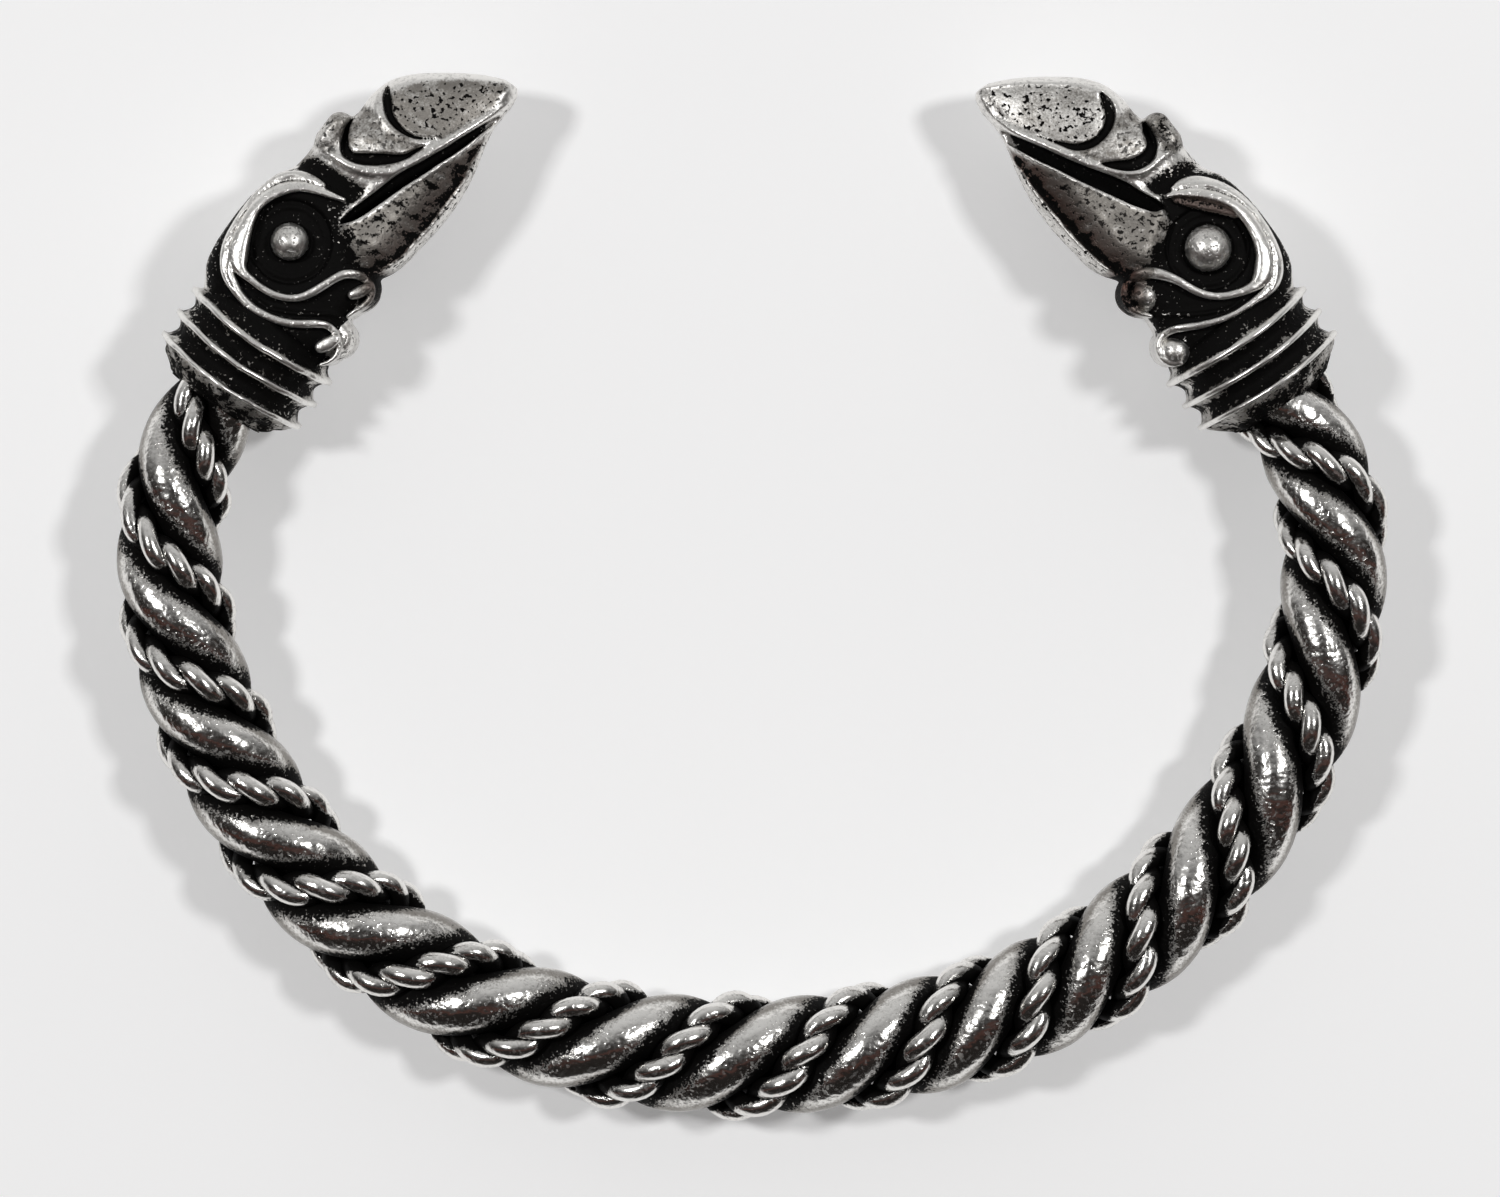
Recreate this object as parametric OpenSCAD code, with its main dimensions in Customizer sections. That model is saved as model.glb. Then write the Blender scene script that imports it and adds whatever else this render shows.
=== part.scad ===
// Twisted arm ring with a raven's head at each end
//
// Two thick rods and two thin ropes are laid up together, left-handed, and bent into an open hoop.
// Each end of the hoop sits in a ribbed collar, which is cast in one with the raven's head.
// The ring lies on its side. X runs across it, +Y points at the mouth between the beaks, +Z is up.

/* [Hoop] */
// Clear width inside the hoop, between the crowns of the ropes at its two sides
inner_width = 70.5; // [58:0.5:84]
// Angle between each head and the line through both collars
head_angle = 55; // [50:1:64]
// Length of one full turn of the twist
twist_lay = 17.3; // [15.5:0.1:21]
// Where the first rod stands in the twist at the middle of the hoop
twist_middle = 100; // [0:5:360]

/* [Strands] */
// Diameter of each thick rod in the middle of the hoop
rod_diameter = 3.7; // [3:0.1:4.4]
// Diameter of each two-wire rope in the middle of the hoop
rope_diameter = 2.3; // [1.8:0.1:2.6]
// Size of the twist at the collars, as a share of its size in the middle
end_fullness = 0.84; // [0.76:0.01:1]
// Gap between strands that lie side by side
strand_gap = 0.1; // [0.06:0.01:0.2]

/* [Collars] */
// Diameter over the largest ribs
collar_diameter = 11.4; // [10.4:0.1:14]
// Distance from one rib to the next
rib_spacing = 1.8; // [1.4:0.1:2.2]
// Depth of the hollows between the ribs
rib_depth = 0.8; // [0.4:0.1:1]
// Length of the taper behind the last rib
taper_length = 1.8; // [1.2:0.1:3]
// Depth of the socket that holds the ends of the rods
socket_depth = 3; // [2:0.1:4]
// Clearance round and behind the rods in the socket
socket_gap = 0.1; // [0.05:0.01:0.2]
// Thickness of the socket's wall at its mouth
socket_wall = 0.45; // [0.3:0.05:0.7]

/* [Heads] */
// Length from the last rib to the tip of the beak
head_length = 27.2; // [22:0.2:34]
// Height of the head from chin to crown
head_height = 12; // [11:0.1:14.5]
// Thickness of the head across both cheeks
head_thickness = 9.4; // [8:0.1:11]
// Diameter of each eye
eye_diameter = 2.6; // [2:0.1:3.4]
// Width of the brow band and the scrolls
ridge_width = 0.9; // [0.6:0.05:1.2]
// Width of the left beak's gape
gape_left = 0.8; // [0.4:0.1:1.4]
// Width of the right beak's gape
gape_right = 1.2; // [0.4:0.1:1.4]

/* [Hidden] */
round_fn = 64;

// Paths are chains of straights and arcs. In a row, RADIUS is an arc's radius and TURN its sweep
// in degrees, both negative to the right. A straight has no turn and its length under RADIUS.
RADIUS = 0;
TURN = 1;

function row_length(row) = row[TURN] == 0 ? row[RADIUS] : row[RADIUS] * row[TURN] * PI / 180;

function path_length(rows) = sum_of([for (row = rows) row_length(row)]);

function sum_of(values, i = 0) = i == len(values) ? 0 : values[i] + sum_of(values, i + 1);

// A place on a path is [x, y, heading]
function row_place(row, at, from) =
    let (turn = row[TURN] == 0 ? 0 : at / row[RADIUS] * 180 / PI, to = from[2] + turn)
    row[TURN] == 0
        ? [from[0] + at * cos(to), from[1] + at * sin(to), to]
        : [from[0] + row[RADIUS] * (sin(to) - sin(from[2])),
           from[1] - row[RADIUS] * (cos(to) - cos(from[2])), to];

function path_place(rows, at, from, i = 0) =
    i == len(rows) - 1 || at <= row_length(rows[i])
        ? row_place(rows[i], at, from)
        : path_place(rows, at - row_length(rows[i]),
                     row_place(rows[i], row_length(rows[i]), from), i + 1);

// Bends of the hoop from the left collar round to the right one.
// Radii are shares of half the hoop's width, turns are shares of its whole turn.
hoop_bends = [
    [0.437, 0.172],
    [0.943, 0.296],
    [1.339, 0.090],
    [0.903, 0.264],
    [0.479, 0.178],
];
hoop_turn = 360 - 2 * head_angle;
start_heading = 180 + head_angle;

// The rods touch but for the gap
rod_seat = (rod_diameter + strand_gap) / 2;
rod_crown = rod_seat + rod_diameter / 2;

// The ropes lie in the grooves between the rods, as deep as their gap lets them.
// The nearest approach of a rope and a rod is found over the angle between them.
rise = twist_lay / 360;
function reach(seat) = min([for (angle = [10:2:90])
    sqrt(seat * seat + rod_seat * rod_seat - 2 * seat * rod_seat * cos(angle)
         + pow(rise * (90 - angle), 2))]);
rope_reach = (rod_diameter + rope_diameter) / 2 + strand_gap;
seat_step = 0.025;
rope_seats = [for (seat = [rod_seat:seat_step:rod_seat + rod_diameter])
    if (reach(seat) >= rope_reach) seat];
rope_seat = rope_seats[0];
rope_crown = rope_seat + rope_diameter / 2;

// The twist is fullest in the middle of the hoop and thins towards both collars
function fullness(share) = 1 - (1 - end_fullness) * pow(2 * share - 1, 2);

// The crowns of the ropes at the two sides set the hoop's clear width
unit_rows = [for (bend = hoop_bends) [bend[RADIUS], bend[TURN] * hoop_turn]];
unit_steps = 90;
unit_xs = [for (i = [0:unit_steps])
    path_place(unit_rows, path_length(unit_rows) * i / unit_steps, [0, 0, start_heading])[0]];
side_shares = [for (side = [min(unit_xs), max(unit_xs)]) for (i = [0:unit_steps])
    if (unit_xs[i] == side) i / unit_steps];
side_crowns = [for (share = side_shares) rope_crown * fullness(share)];
bend_scale = (inner_width + sum_of(side_crowns)) / (max(unit_xs) - min(unit_xs));

// The path runs from one rod end to the other, straight inside each socket
socket_lead = socket_depth - socket_gap;
rib_at = socket_lead - taper_length;
hoop_rows = concat(
    [[socket_lead, 0]],
    [for (row = unit_rows) [row[RADIUS] * bend_scale, row[TURN]]],
    [[socket_lead, 0]]
);
hoop_length = path_length(hoop_rows);
rod_socket_radius = rod_crown * fullness(socket_depth / hoop_length) + socket_gap;

// Turned so that both collars are level with each other
skewed_left = path_place(hoop_rows, rib_at, [0, 0, start_heading]);
skewed_right = path_place(hoop_rows, hoop_length - rib_at, [0, 0, start_heading]);
skew = atan2(skewed_right[1] - skewed_left[1], skewed_right[0] - skewed_left[0]);
hoop_start = [0, 0, start_heading - skew];
left_rib = path_place(hoop_rows, rib_at, hoop_start);
right_rib = path_place(hoop_rows, hoop_length - rib_at, hoop_start);

// Outline of a laid-up round strand, in the plane across the hoop
function strand_outline(seat, diameter, sides) =
    let (slope = atan(seat * PI * 2 / twist_lay))
    [for (i = [0:sides - 1])
        let (angle = 360 * i / sides,
             across = diameter / 2 * sin(angle) * cos(slope),
             along = diameter / 2 * sin(angle) * sin(slope),
             out = seat + diameter / 2 * cos(angle),
             turn = along / twist_lay * 360)
        [out * cos(turn) - across * sin(turn), out * sin(turn) + across * cos(turn)]];

// The outline is carried along the hoop, turned with the twist and thinned towards the collars
steps_per_lay = 18;
function strand_rings(outline, from_at, to_at, phase) =
    let (steps = ceil((to_at - from_at) / twist_lay * steps_per_lay))
    [for (i = [0:steps])
        let (at = from_at + (to_at - from_at) * i / steps,
             place = path_place(hoop_rows, at, hoop_start),
             size = fullness(at / hoop_length),
             angle = phase + twist_middle + (at - hoop_length / 2) / rise)
        [for (p = outline)
            let (out = size * (p[0] * cos(angle) - p[1] * sin(angle)),
                 up = size * (p[0] * sin(angle) + p[1] * cos(angle)))
            [place[0] + out * sin(place[2]), place[1] - out * cos(place[2]), up]]];

rod_sides = 12;
rope_sides = 8;
rod_outline = strand_outline(rod_seat, rod_diameter, rod_sides);
rope_outline = strand_outline(rope_seat, rope_diameter, rope_sides);
rod_rings = [for (phase = [0, 180]) strand_rings(rod_outline, 0, hoop_length, phase)];
rope_start = socket_lead + strand_gap;
rope_rings = [for (phase = [90, 270])
    strand_rings(rope_outline, rope_start, hoop_length - rope_start, phase)];

// Sections of the head from the neck to the tip of the beak. ALONG, CROWN and CHIN are shares of
// the head's length, CHEEK of half its thickness, and SQUARE is how square the section is.
ALONG = 0;
CROWN = 1;
CHIN = 2;
CHEEK = 3;
SQUARE = 4;
head_sections = [
    [0.140, 0.184, -0.169, 1.00, 2.1],
    [0.202, 0.211, -0.169, 0.98, 2.8],
    [0.265, 0.222, -0.169, 0.98, 3.4],
    [0.338, 0.226, -0.165, 0.98, 3.6],
    [0.412, 0.217, -0.165, 0.96, 3.6],
    [0.478, 0.199, -0.176, 0.89, 3.4],
    [0.537, 0.165, -0.193, 0.79, 3.0],
    [0.596, 0.158, -0.202, 0.72, 2.8],
    [0.662, 0.147, -0.211, 0.68, 2.8],
    [0.721, 0.118, -0.215, 0.66, 2.8],
    [0.790, 0.105, -0.210, 0.62, 2.8],
    [0.846, 0.079, -0.199, 0.55, 2.6],
    [0.897, 0.033, -0.184, 0.49, 2.4],
    [0.941, -0.022, -0.180, 0.40, 2.2],
    [0.974, -0.085, -0.186, 0.30, 2.0],
    [0.996, -0.147, -0.180, 0.17, 2.0],
];
// The face is drawn in shares of the head's length, at this height for its length
face_ratio = 0.441;
face_rise = head_height / (head_length * face_ratio);
function on_face(p) = [p[0] * head_length, p[1] * head_length * face_rise];

function column(x, name) = lookup(x, [for (row = head_sections) [row[ALONG], row[name]]]);

// Height of the cheek over the head's middle plane, at a point of the drawn face
function cheek(p) =
    let (middle = (column(p[0], CROWN) + column(p[0], CHIN)) / 2,
         half = (column(p[0], CROWN) - column(p[0], CHIN)) / 2,
         off = min(abs(p[1] - middle) / half, 1),
         square = column(p[0], SQUARE))
    column(p[0], CHEEK) * head_thickness / 2 * pow(1 - pow(off, square), 1 / square);

function curved(value, power) = sign(value) * pow(abs(value), power);

section_sides = 24;
head_rings = [for (row = head_sections)
    let (middle = (row[CROWN] + row[CHIN]) / 2, half = (row[CROWN] - row[CHIN]) / 2)
    [for (i = [0:section_sides - 1])
        let (angle = -360 * (i + 0.5) / section_sides,
             flat = on_face([row[ALONG], middle + half * curved(cos(angle), 2 / row[SQUARE])]))
        [flat[0], flat[1], row[CHEEK] * head_thickness / 2 * curved(sin(angle), 2 / row[SQUARE])]]];

// Features of the face, in shares of the head's length
eye_at = [0.357, 0.079];
eye_socket_radius = 0.106;
eye_socket_sink = 0.2;
brow_start = [0.514, 0.026, 100];
brow_rows = [
    [0.05, 0], [0.126, 170], [0.118, 55],
    [0.095, 0], [-0.045, -65], [-0.04, -170],
];
crest_start = [0.522, 0.015, 92];
crest_rows = [
    [0.066, 0], [0.132, 62], [0.239, 50], [0.125, 68],
    [0.22, 30], [0.045, 0], [-0.03, -60], [-0.031, -170],
];
scroll_balls = [[0.357, -0.126, 0.034], [0.21, -0.139, 0.028]];
scroll_bosses = [[0.368, -0.132, 0.05], [0.232, -0.15, 0.05]];
scroll_rise = 0.72;
gape_corner = [0.5, 0.004];
gape_end = [0.915, -0.172];
gape_shape = [[0, 0], [0.15, 0.5], [1, 0.35], [1.02, 0]];
gape_web = 1.6;
nose_grooves = [[0.742, 0.074, 0.118, 160, 80], [0.816, 0.007, 0.081, 105, 110]];
groove_width = 0.6;
knob_at = [0.652, 0.132];
knob_radius = 0.042;
knob_width = 0.17;

// Lowest rib edge and lowest strand points decide how the ring leans when it lies down
collar_radius = collar_diameter / 2;
strand_points = [for (rings = concat(rod_rings, rope_rings)) for (ring = rings) for (p = ring) p];
rest_slope = min([for (p = strand_points)
    if (p[1] < left_rib[1] - collar_diameter) (p[2] + collar_radius) / (left_rib[1] - p[1])]);
rest_lean = atan(rest_slope);
function rested(p) = [
    p[0],
    p[1] * cos(rest_lean) - p[2] * sin(rest_lean),
    p[1] * sin(rest_lean) + p[2] * cos(rest_lean),
];
rib_lean = sin(rest_lean) * sin(hoop_start[2]);
rib_low = left_rib[1] * sin(rest_lean) - collar_radius * sqrt(1 - rib_lean * rib_lean);

// Corners of the whole ring, which put its origin at the middle of its footprint
left_turn = hoop_start[2] - 180;
right_turn = 180 - right_rib[2];
function turned(p, angle) = [
    p[0] * cos(angle) - p[1] * sin(angle),
    p[0] * sin(angle) + p[1] * cos(angle),
    p[2],
];
function left_place(p) =
    let (q = turned(p, left_turn)) [left_rib[0] + q[0], left_rib[1] + q[1], q[2]];
function right_place(p) =
    let (q = turned(p, right_turn)) [right_rib[0] - q[0], right_rib[1] + q[1], q[2]];
head_points = [for (ring = head_rings) for (p = ring) p];
all_points = [for (p = concat(
    strand_points,
    [for (p = head_points) left_place(p)],
    [for (p = head_points) right_place(p)])) rested(p)];
xs = [for (p = all_points) p[0]];
ys = [for (p = all_points) p[1]];
zs = [for (p = all_points) p[2]];
origin = [(max(xs) + min(xs)) / 2, (max(ys) + min(ys)) / 2, min(rib_low, min(zs))];

// A closed skin over a list of rings that have the same number of points
module skin(rings) {
    sides = len(rings[0]);
    last = len(rings) - 1;
    walls = [for (i = [0:last - 1]) for (j = [0:sides - 1])
        let (a = i * sides + j, b = i * sides + (j + 1) % sides)
        each [[a, b, b + sides], [a, b + sides, a + sides]]];
    near_end = [for (j = [sides - 1:-1:0]) j];
    far_end = [for (j = [0:sides - 1]) last * sides + j];
    polyhedron(points = [for (ring = rings) each ring], faces = concat(walls, [near_end, far_end]));
}

module resting() {
    translate(-origin) rotate([rest_lean, 0, 0]) children();
}

module rod(number) {
    color("silver") resting() skin(rod_rings[number - 1]);
}

module rope(number) {
    color("gainsboro") resting() skin(rope_rings[number - 1]);
}

// Edge of the collar from the socket's mouth to the neck, as [radius, place along the axis]
hollow_steps = 6;
neck_radius = 0.75 * collar_radius;
neck_from = 2.4 * rib_spacing;
neck_to = 2.7 * rib_spacing;
function rib_hollow(i) = [for (step = [0:hollow_steps - 1])
    let (share = step / hollow_steps * 2 - 1)
    [collar_radius - rib_depth * (1 - share * share), rib_spacing * (i + (share + 1) / 2)]];
collar_edge = concat(
    [[0, -taper_length], [rod_socket_radius + socket_wall, -taper_length]],
    [for (i = [0:1]) each rib_hollow(i)],
    [[collar_radius, 2 * rib_spacing], [collar_radius - rib_depth, neck_from]],
    [[neck_radius, neck_to], [0, neck_to]]
);

module collar() {
    rotate([0, 90, 0]) rotate_extrude($fn = round_fn) polygon(collar_edge);
}

module rod_socket() {
    mouth = taper_length + 1;
    translate([-mouth, 0, 0]) rotate([0, 90, 0]) {
        cylinder(h = mouth - taper_length + socket_depth, r = rod_socket_radius, $fn = round_fn);
    }
}

// A round bar bent along a path on the near cheek
ridge_sides = 6;
ridge_steps = 26;
ridge_sink = 0.2 * ridge_width;
module ridge(rows, from) {
    rings = [for (i = [0:ridge_steps])
        let (place = path_place(rows, path_length(rows) * i / ridge_steps, from),
             flat = on_face(place),
             seat = max(cheek(place), scroll_rise * head_thickness / 2) - ridge_sink)
        [for (j = [0:ridge_sides - 1])
            let (angle = 360 * (j + 0.5) / ridge_sides, across = ridge_width / 2 * cos(angle))
            [flat[0] + across * sin(place[2]), flat[1] - across * cos(place[2]),
             seat + ridge_width / 2 * sin(angle)]]];
    skin(rings);
}

module on_both_cheeks() {
    children();
    mirror([0, 0, 1]) children();
}

module ball(feature, height) {
    translate([on_face(feature)[0], on_face(feature)[1], height]) {
        sphere(r = feature[2] * head_length, $fn = 32);
    }
}

module scroll_boss(feature) {
    depth = scroll_rise * head_thickness;
    translate([on_face(feature)[0], on_face(feature)[1], -depth / 2]) {
        cylinder(h = depth, r = feature[2] * head_length, $fn = round_fn);
    }
}

module eye_socket() {
    floor = cheek(eye_at) - eye_socket_sink * head_thickness / 2;
    translate([on_face(eye_at)[0], on_face(eye_at)[1], floor]) {
        cylinder(h = head_thickness, r = eye_socket_radius * head_length, $fn = round_fn);
    }
}

module eye() {
    floor = cheek(eye_at) - eye_socket_sink * head_thickness / 2;
    translate([on_face(eye_at)[0], on_face(eye_at)[1], floor]) sphere(d = eye_diameter, $fn = 32);
}

module gape(width) {
    corner = on_face(gape_corner);
    end = on_face(gape_end);
    slope = atan2(end[1] - corner[1], end[0] - corner[0]);
    run = norm(end - corner);
    upper_edge = [for (p = gape_shape) [run * p[0], width * p[1]]];
    lower_edge = [for (i = [len(gape_shape) - 2:-1:1]) [upper_edge[i][0], -upper_edge[i][1]]];
    translate([corner[0], corner[1], gape_web / 2]) rotate([0, 0, slope]) {
        linear_extrude(head_thickness) polygon(concat(upper_edge, lower_edge));
    }
}

module nose_groove(feature) {
    middle = on_face(feature);
    height = cheek([feature[0] - feature[2], feature[1]]);
    translate([middle[0], middle[1], height]) rotate([0, 0, feature[3]]) {
        rotate_extrude(angle = feature[4], $fn = round_fn) {
            translate([feature[2] * head_length, 0]) circle(d = groove_width, $fn = 24);
        }
    }
}

module knob() {
    width = knob_width * head_length;
    translate([on_face(knob_at)[0], on_face(knob_at)[1], -width / 2]) {
        cylinder(h = width, r = knob_radius * head_length, $fn = round_fn);
    }
}

// Seen with the crown towards +Y and the beak towards +X
module raven_head(gape_width) {
    difference() {
        union() {
            collar();
            skin(head_rings);
            knob();
            for (feature = scroll_bosses) scroll_boss(feature);
        }
        rod_socket();
        on_both_cheeks() {
            eye_socket();
            gape(gape_width);
            for (feature = nose_grooves) nose_groove(feature);
        }
    }
    on_both_cheeks() {
        eye();
        ridge(brow_rows, brow_start);
        ridge(crest_rows, crest_start);
        for (feature = scroll_balls) ball(feature, scroll_rise * head_thickness / 2);
    }
}

module head_left() {
    color("darkgray") resting() translate([left_rib[0], left_rib[1], 0]) {
        rotate([0, 0, left_turn]) raven_head(gape_left);
    }
}

module head_right() {
    color("darkgray") resting() translate([right_rib[0], right_rib[1], 0]) {
        mirror([1, 0, 0]) rotate([0, 0, right_turn]) raven_head(gape_right);
    }
}

rod(1);  // rod_1
rod(2);  // rod_2
rope(1);  // rope_1
rope(2);  // rope_2
head_left();
head_right();
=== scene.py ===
import math

import bpy
import numpy as np
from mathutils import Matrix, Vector


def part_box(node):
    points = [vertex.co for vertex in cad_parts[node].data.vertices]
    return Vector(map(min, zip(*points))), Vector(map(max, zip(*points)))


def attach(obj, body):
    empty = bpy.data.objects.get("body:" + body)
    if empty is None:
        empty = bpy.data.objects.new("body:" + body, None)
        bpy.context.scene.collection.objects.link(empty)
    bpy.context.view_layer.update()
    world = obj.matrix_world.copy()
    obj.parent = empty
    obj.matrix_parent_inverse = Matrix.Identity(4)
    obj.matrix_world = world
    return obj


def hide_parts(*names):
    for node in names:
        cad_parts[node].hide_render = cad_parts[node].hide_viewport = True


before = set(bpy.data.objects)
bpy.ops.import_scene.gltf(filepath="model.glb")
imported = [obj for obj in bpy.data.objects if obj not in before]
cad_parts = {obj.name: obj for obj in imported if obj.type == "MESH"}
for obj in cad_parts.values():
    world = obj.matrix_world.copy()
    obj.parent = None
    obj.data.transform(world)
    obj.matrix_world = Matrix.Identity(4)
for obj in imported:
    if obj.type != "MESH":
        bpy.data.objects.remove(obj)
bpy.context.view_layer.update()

# A twisted arm ring of antiqued pewter, lying on a pale table and seen from straight above.
# Sizes are in millimetres and angles in degrees, in the part's own frame, until a mesh is made.
MM = 0.001

# Hoop
INNER_WIDTH = 70.5
HEAD_ANGLE = 55
TWIST_LAY = 17.3
TWIST_MIDDLE = 100
HOOP_BENDS = [[0.437, 0.172], [0.943, 0.296], [1.339, 0.090], [0.903, 0.264], [0.479, 0.178]]
END_FULLNESS = 0.84

# Strands
ROD_DIAMETER = 3.7
ROPE_DIAMETER = 2.3
STRAND_GAP = 0.1
WIRE_RADIUS = 0.69
WIRE_OFFSET = 0.475
WIRE_LAY = 3.24
WIRE_PRESS = 0.13
ROD_SWELL = 0.04

# The twist as made by hand, against the frame's even one: fuller, a little out and up, and ahead of it.
# Each row is a place along the hoop and how far ahead the twist is there.
HAND_FULLNESS = 1.05
HAND_SHIFT = np.array([0, 0.14, 0.2])
HAND_TWIST = np.array([
    [0.0, 0.55], [17.5, 0.62], [23.5, 0.94], [29.5, 1.45], [36.0, 1.62], [42.0, 1.6], [48.0, 1.42],
    [54.0, 1.12], [60.0, 0.92], [66.0, 0.86], [72.0, 0.81], [78.0, 0.8], [84.0, 1.15], [90.0, 1.75],
    [96.0, 2.1], [102.0, 2.15], [107.0, 2.0], [113.5, 1.25], [119.5, 0.82], [141.0, 0.7]])
HAND_FADE = 6

# Collars
COLLAR_RADIUS = 5.7
RIB_SPACING = 1.8
RIB_DEPTH = 0.8
SKIRT_LENGTH = 1.8
SOCKET_DEPTH = 3
SOCKET_GAP = 0.1
SOCKET_WALL = 0.45
SOCKET_LEAD = SOCKET_DEPTH - SOCKET_GAP
RIB_AT = SOCKET_LEAD - SKIRT_LENGTH


def cosd(angle):
    return np.cos(np.radians(angle))


def sind(angle):
    return np.sin(np.radians(angle))


def unit(vectors):
    return vectors / np.linalg.norm(vectors, axis=-1, keepdims=True)


def smooth(value, low, high):
    """0 at low, 1 at high, with a soft start and end."""
    share = np.clip((value - low) / (high - low), 0, 1)
    return share * share * (3 - 2 * share)


def hermite(at, value, x):
    """A smooth curve through the rows of a table."""
    slope = np.gradient(value, at)
    i = np.clip(np.searchsorted(at, x) - 1, 0, len(at) - 2)
    run = at[i + 1] - at[i]
    t = np.clip((x - at[i]) / run, 0, 1)
    start = (1 + 2 * t) * (1 - t) ** 2 * value[i] + t * (1 - t) ** 2 * run * slope[i]
    return start + t * t * (3 - 2 * t) * value[i + 1] + t * t * (t - 1) * run * slope[i + 1]


def row_place(row, at, start):
    """The place at a length along one straight or arc, as x, y and heading."""
    radius, turn = row
    x, y, heading = start
    if turn == 0:
        return x + at * cosd(heading), y + at * sind(heading), heading + 0 * at
    to = heading + np.degrees(at / radius)
    return x + radius * (sind(to) - sind(heading)), y - radius * (cosd(to) - cosd(heading)), to


class Path:
    """A chain of rows [radius, turn], both negative to the right. A straight is [length, 0]."""

    def __init__(self, start, rows):
        self.rows = rows
        self.starts = [start]
        self.reached = [0.0]
        for row in rows:
            length = row[0] if row[1] == 0 else row[0] * math.radians(row[1])
            self.starts.append(row_place(row, length, self.starts[-1]))
            self.reached.append(self.reached[-1] + length)
        self.length = self.reached[-1]

    def place(self, at):
        """Places along the path, with x, y and heading as the last axis."""
        at = np.asarray(at, float)
        row_of = np.searchsorted(self.reached[1:-1], at, side="right")
        places = np.zeros((*at.shape, 3))
        for i, row in enumerate(self.rows):
            here = row_of == i
            places[here] = np.stack(row_place(row, at[here] - self.reached[i], self.starts[i]), -1)
        return places


# The twist

def fullness(share):
    """Size of the twist along the hoop, against its size in the middle."""
    return 1 - (1 - END_FULLNESS) * (2 * share - 1) ** 2


ROD_SEAT = (ROD_DIAMETER + STRAND_GAP) / 2
RISE = TWIST_LAY / 360


def rope_reach(seat):
    """Nearest approach of a rope at this seat to the rod beside it."""
    angle = np.arange(10, 91, 2)
    across = seat ** 2 + ROD_SEAT ** 2 - 2 * seat * ROD_SEAT * cosd(angle)
    return np.sqrt(across + (RISE * (90 - angle)) ** 2).min()


def rope_seat():
    """Depth at which the ropes lie in the grooves between the rods."""
    needed = (ROD_DIAMETER + ROPE_DIAMETER) / 2 + STRAND_GAP
    seats = np.arange(ROD_SEAT, ROD_SEAT + ROD_DIAMETER, 0.025)
    return next(seat for seat in seats if rope_reach(seat) >= needed)


ROPE_SEAT = rope_seat()


def hoop_path():
    """Middle line of the twist, from one rod end to the other, with both collars level."""
    turn = 360 - 2 * HEAD_ANGLE
    bends = [[radius, share * turn] for radius, share in HOOP_BENDS]
    small = Path((0, 0, 180 + HEAD_ANGLE), bends)
    shares = np.linspace(0, 1, 91)
    xs = small.place(shares * small.length)[:, 0]
    crowns = (ROPE_SEAT + ROPE_DIAMETER / 2) * fullness(shares[[xs.argmin(), xs.argmax()]])
    scale = (INNER_WIDTH + crowns.sum()) / np.ptp(xs)
    lead = [[SOCKET_LEAD, 0]]
    rows = lead + [[radius * scale, turn] for radius, turn in bends] + lead
    skewed = Path((0, 0, 180 + HEAD_ANGLE), rows)
    left, right = skewed.place([RIB_AT, skewed.length - RIB_AT])
    skew = math.degrees(math.atan2(right[1] - left[1], right[0] - left[0]))
    return Path((0, 0, 180 + HEAD_ANGLE - skew), rows)


HOOP = hoop_path()
LEFT_RIB, RIGHT_RIB = HOOP.place([RIB_AT, HOOP.length - RIB_AT])
ROPE_START = SOCKET_LEAD + STRAND_GAP


def twist_angle(at):
    """Turn of the first rod about the hoop's middle line."""
    return TWIST_MIDDLE + (at - HOOP.length / 2) / RISE


def bent(points):
    """Points of the straight twist, as along, out and up, thinned to the collars and bent to the hoop."""
    at = points[..., 0]
    size = fullness(at / HOOP.length)
    x, y, heading = np.moveaxis(HOOP.place(at), -1, 0)
    out = points[..., 1] * size
    return np.stack([x + out * sind(heading), y - out * cosd(heading), points[..., 2] * size], -1)


def hand_lead(at):
    """How far the twist by hand has turned beyond the frame's even one."""
    return hermite(HAND_TWIST[:, 0], HAND_TWIST[:, 1], at) / RISE


def hand_bent(points):
    """Points of the straight twist bent to the hoop as by hand, clear of the collars."""
    from_collar = np.minimum(points[..., :1], HOOP.length - points[..., :1]) - SOCKET_LEAD
    free = smooth(from_collar, 0, HAND_FADE)
    fuller = points * (1 + (HAND_FULLNESS - 1) * free * [0, 1, 1])
    return bent(fuller + HAND_SHIFT * free)


def strand_outline(seat, diameter, sides):
    """Outline of a laid-up round strand, in the plane across the hoop."""
    around = np.arange(sides) * 360 / sides
    slope = math.degrees(math.atan(seat * 2 * math.pi / TWIST_LAY))
    across = diameter / 2 * sind(around) * cosd(slope)
    turn = diameter / 2 * sind(around) * sind(slope) / RISE
    out = seat + diameter / 2 * cosd(around)
    return np.stack([out * cosd(turn) - across * sind(turn), out * sind(turn) + across * cosd(turn)], -1)


def laid_up(outline, at, phase):
    """Rings of an outline carried along the straight twist, as along, out and up."""
    angle = (phase + twist_angle(at))[:, None]
    out = outline[..., 0] * cosd(angle) - outline[..., 1] * sind(angle)
    up = outline[..., 0] * sind(angle) + outline[..., 1] * cosd(angle)
    return np.stack([np.broadcast_to(at[:, None], out.shape), out, up], -1)


def frame_strand(seat, diameter, phase, sides, start):
    """The plain strand that the frame holds, which places everything else."""
    steps = math.ceil((HOOP.length - 2 * start) / TWIST_LAY * 18)
    at = np.linspace(start, HOOP.length - start, steps + 1)
    return bent(laid_up(strand_outline(seat, diameter, sides), at, phase)).reshape(-1, 3)


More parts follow.
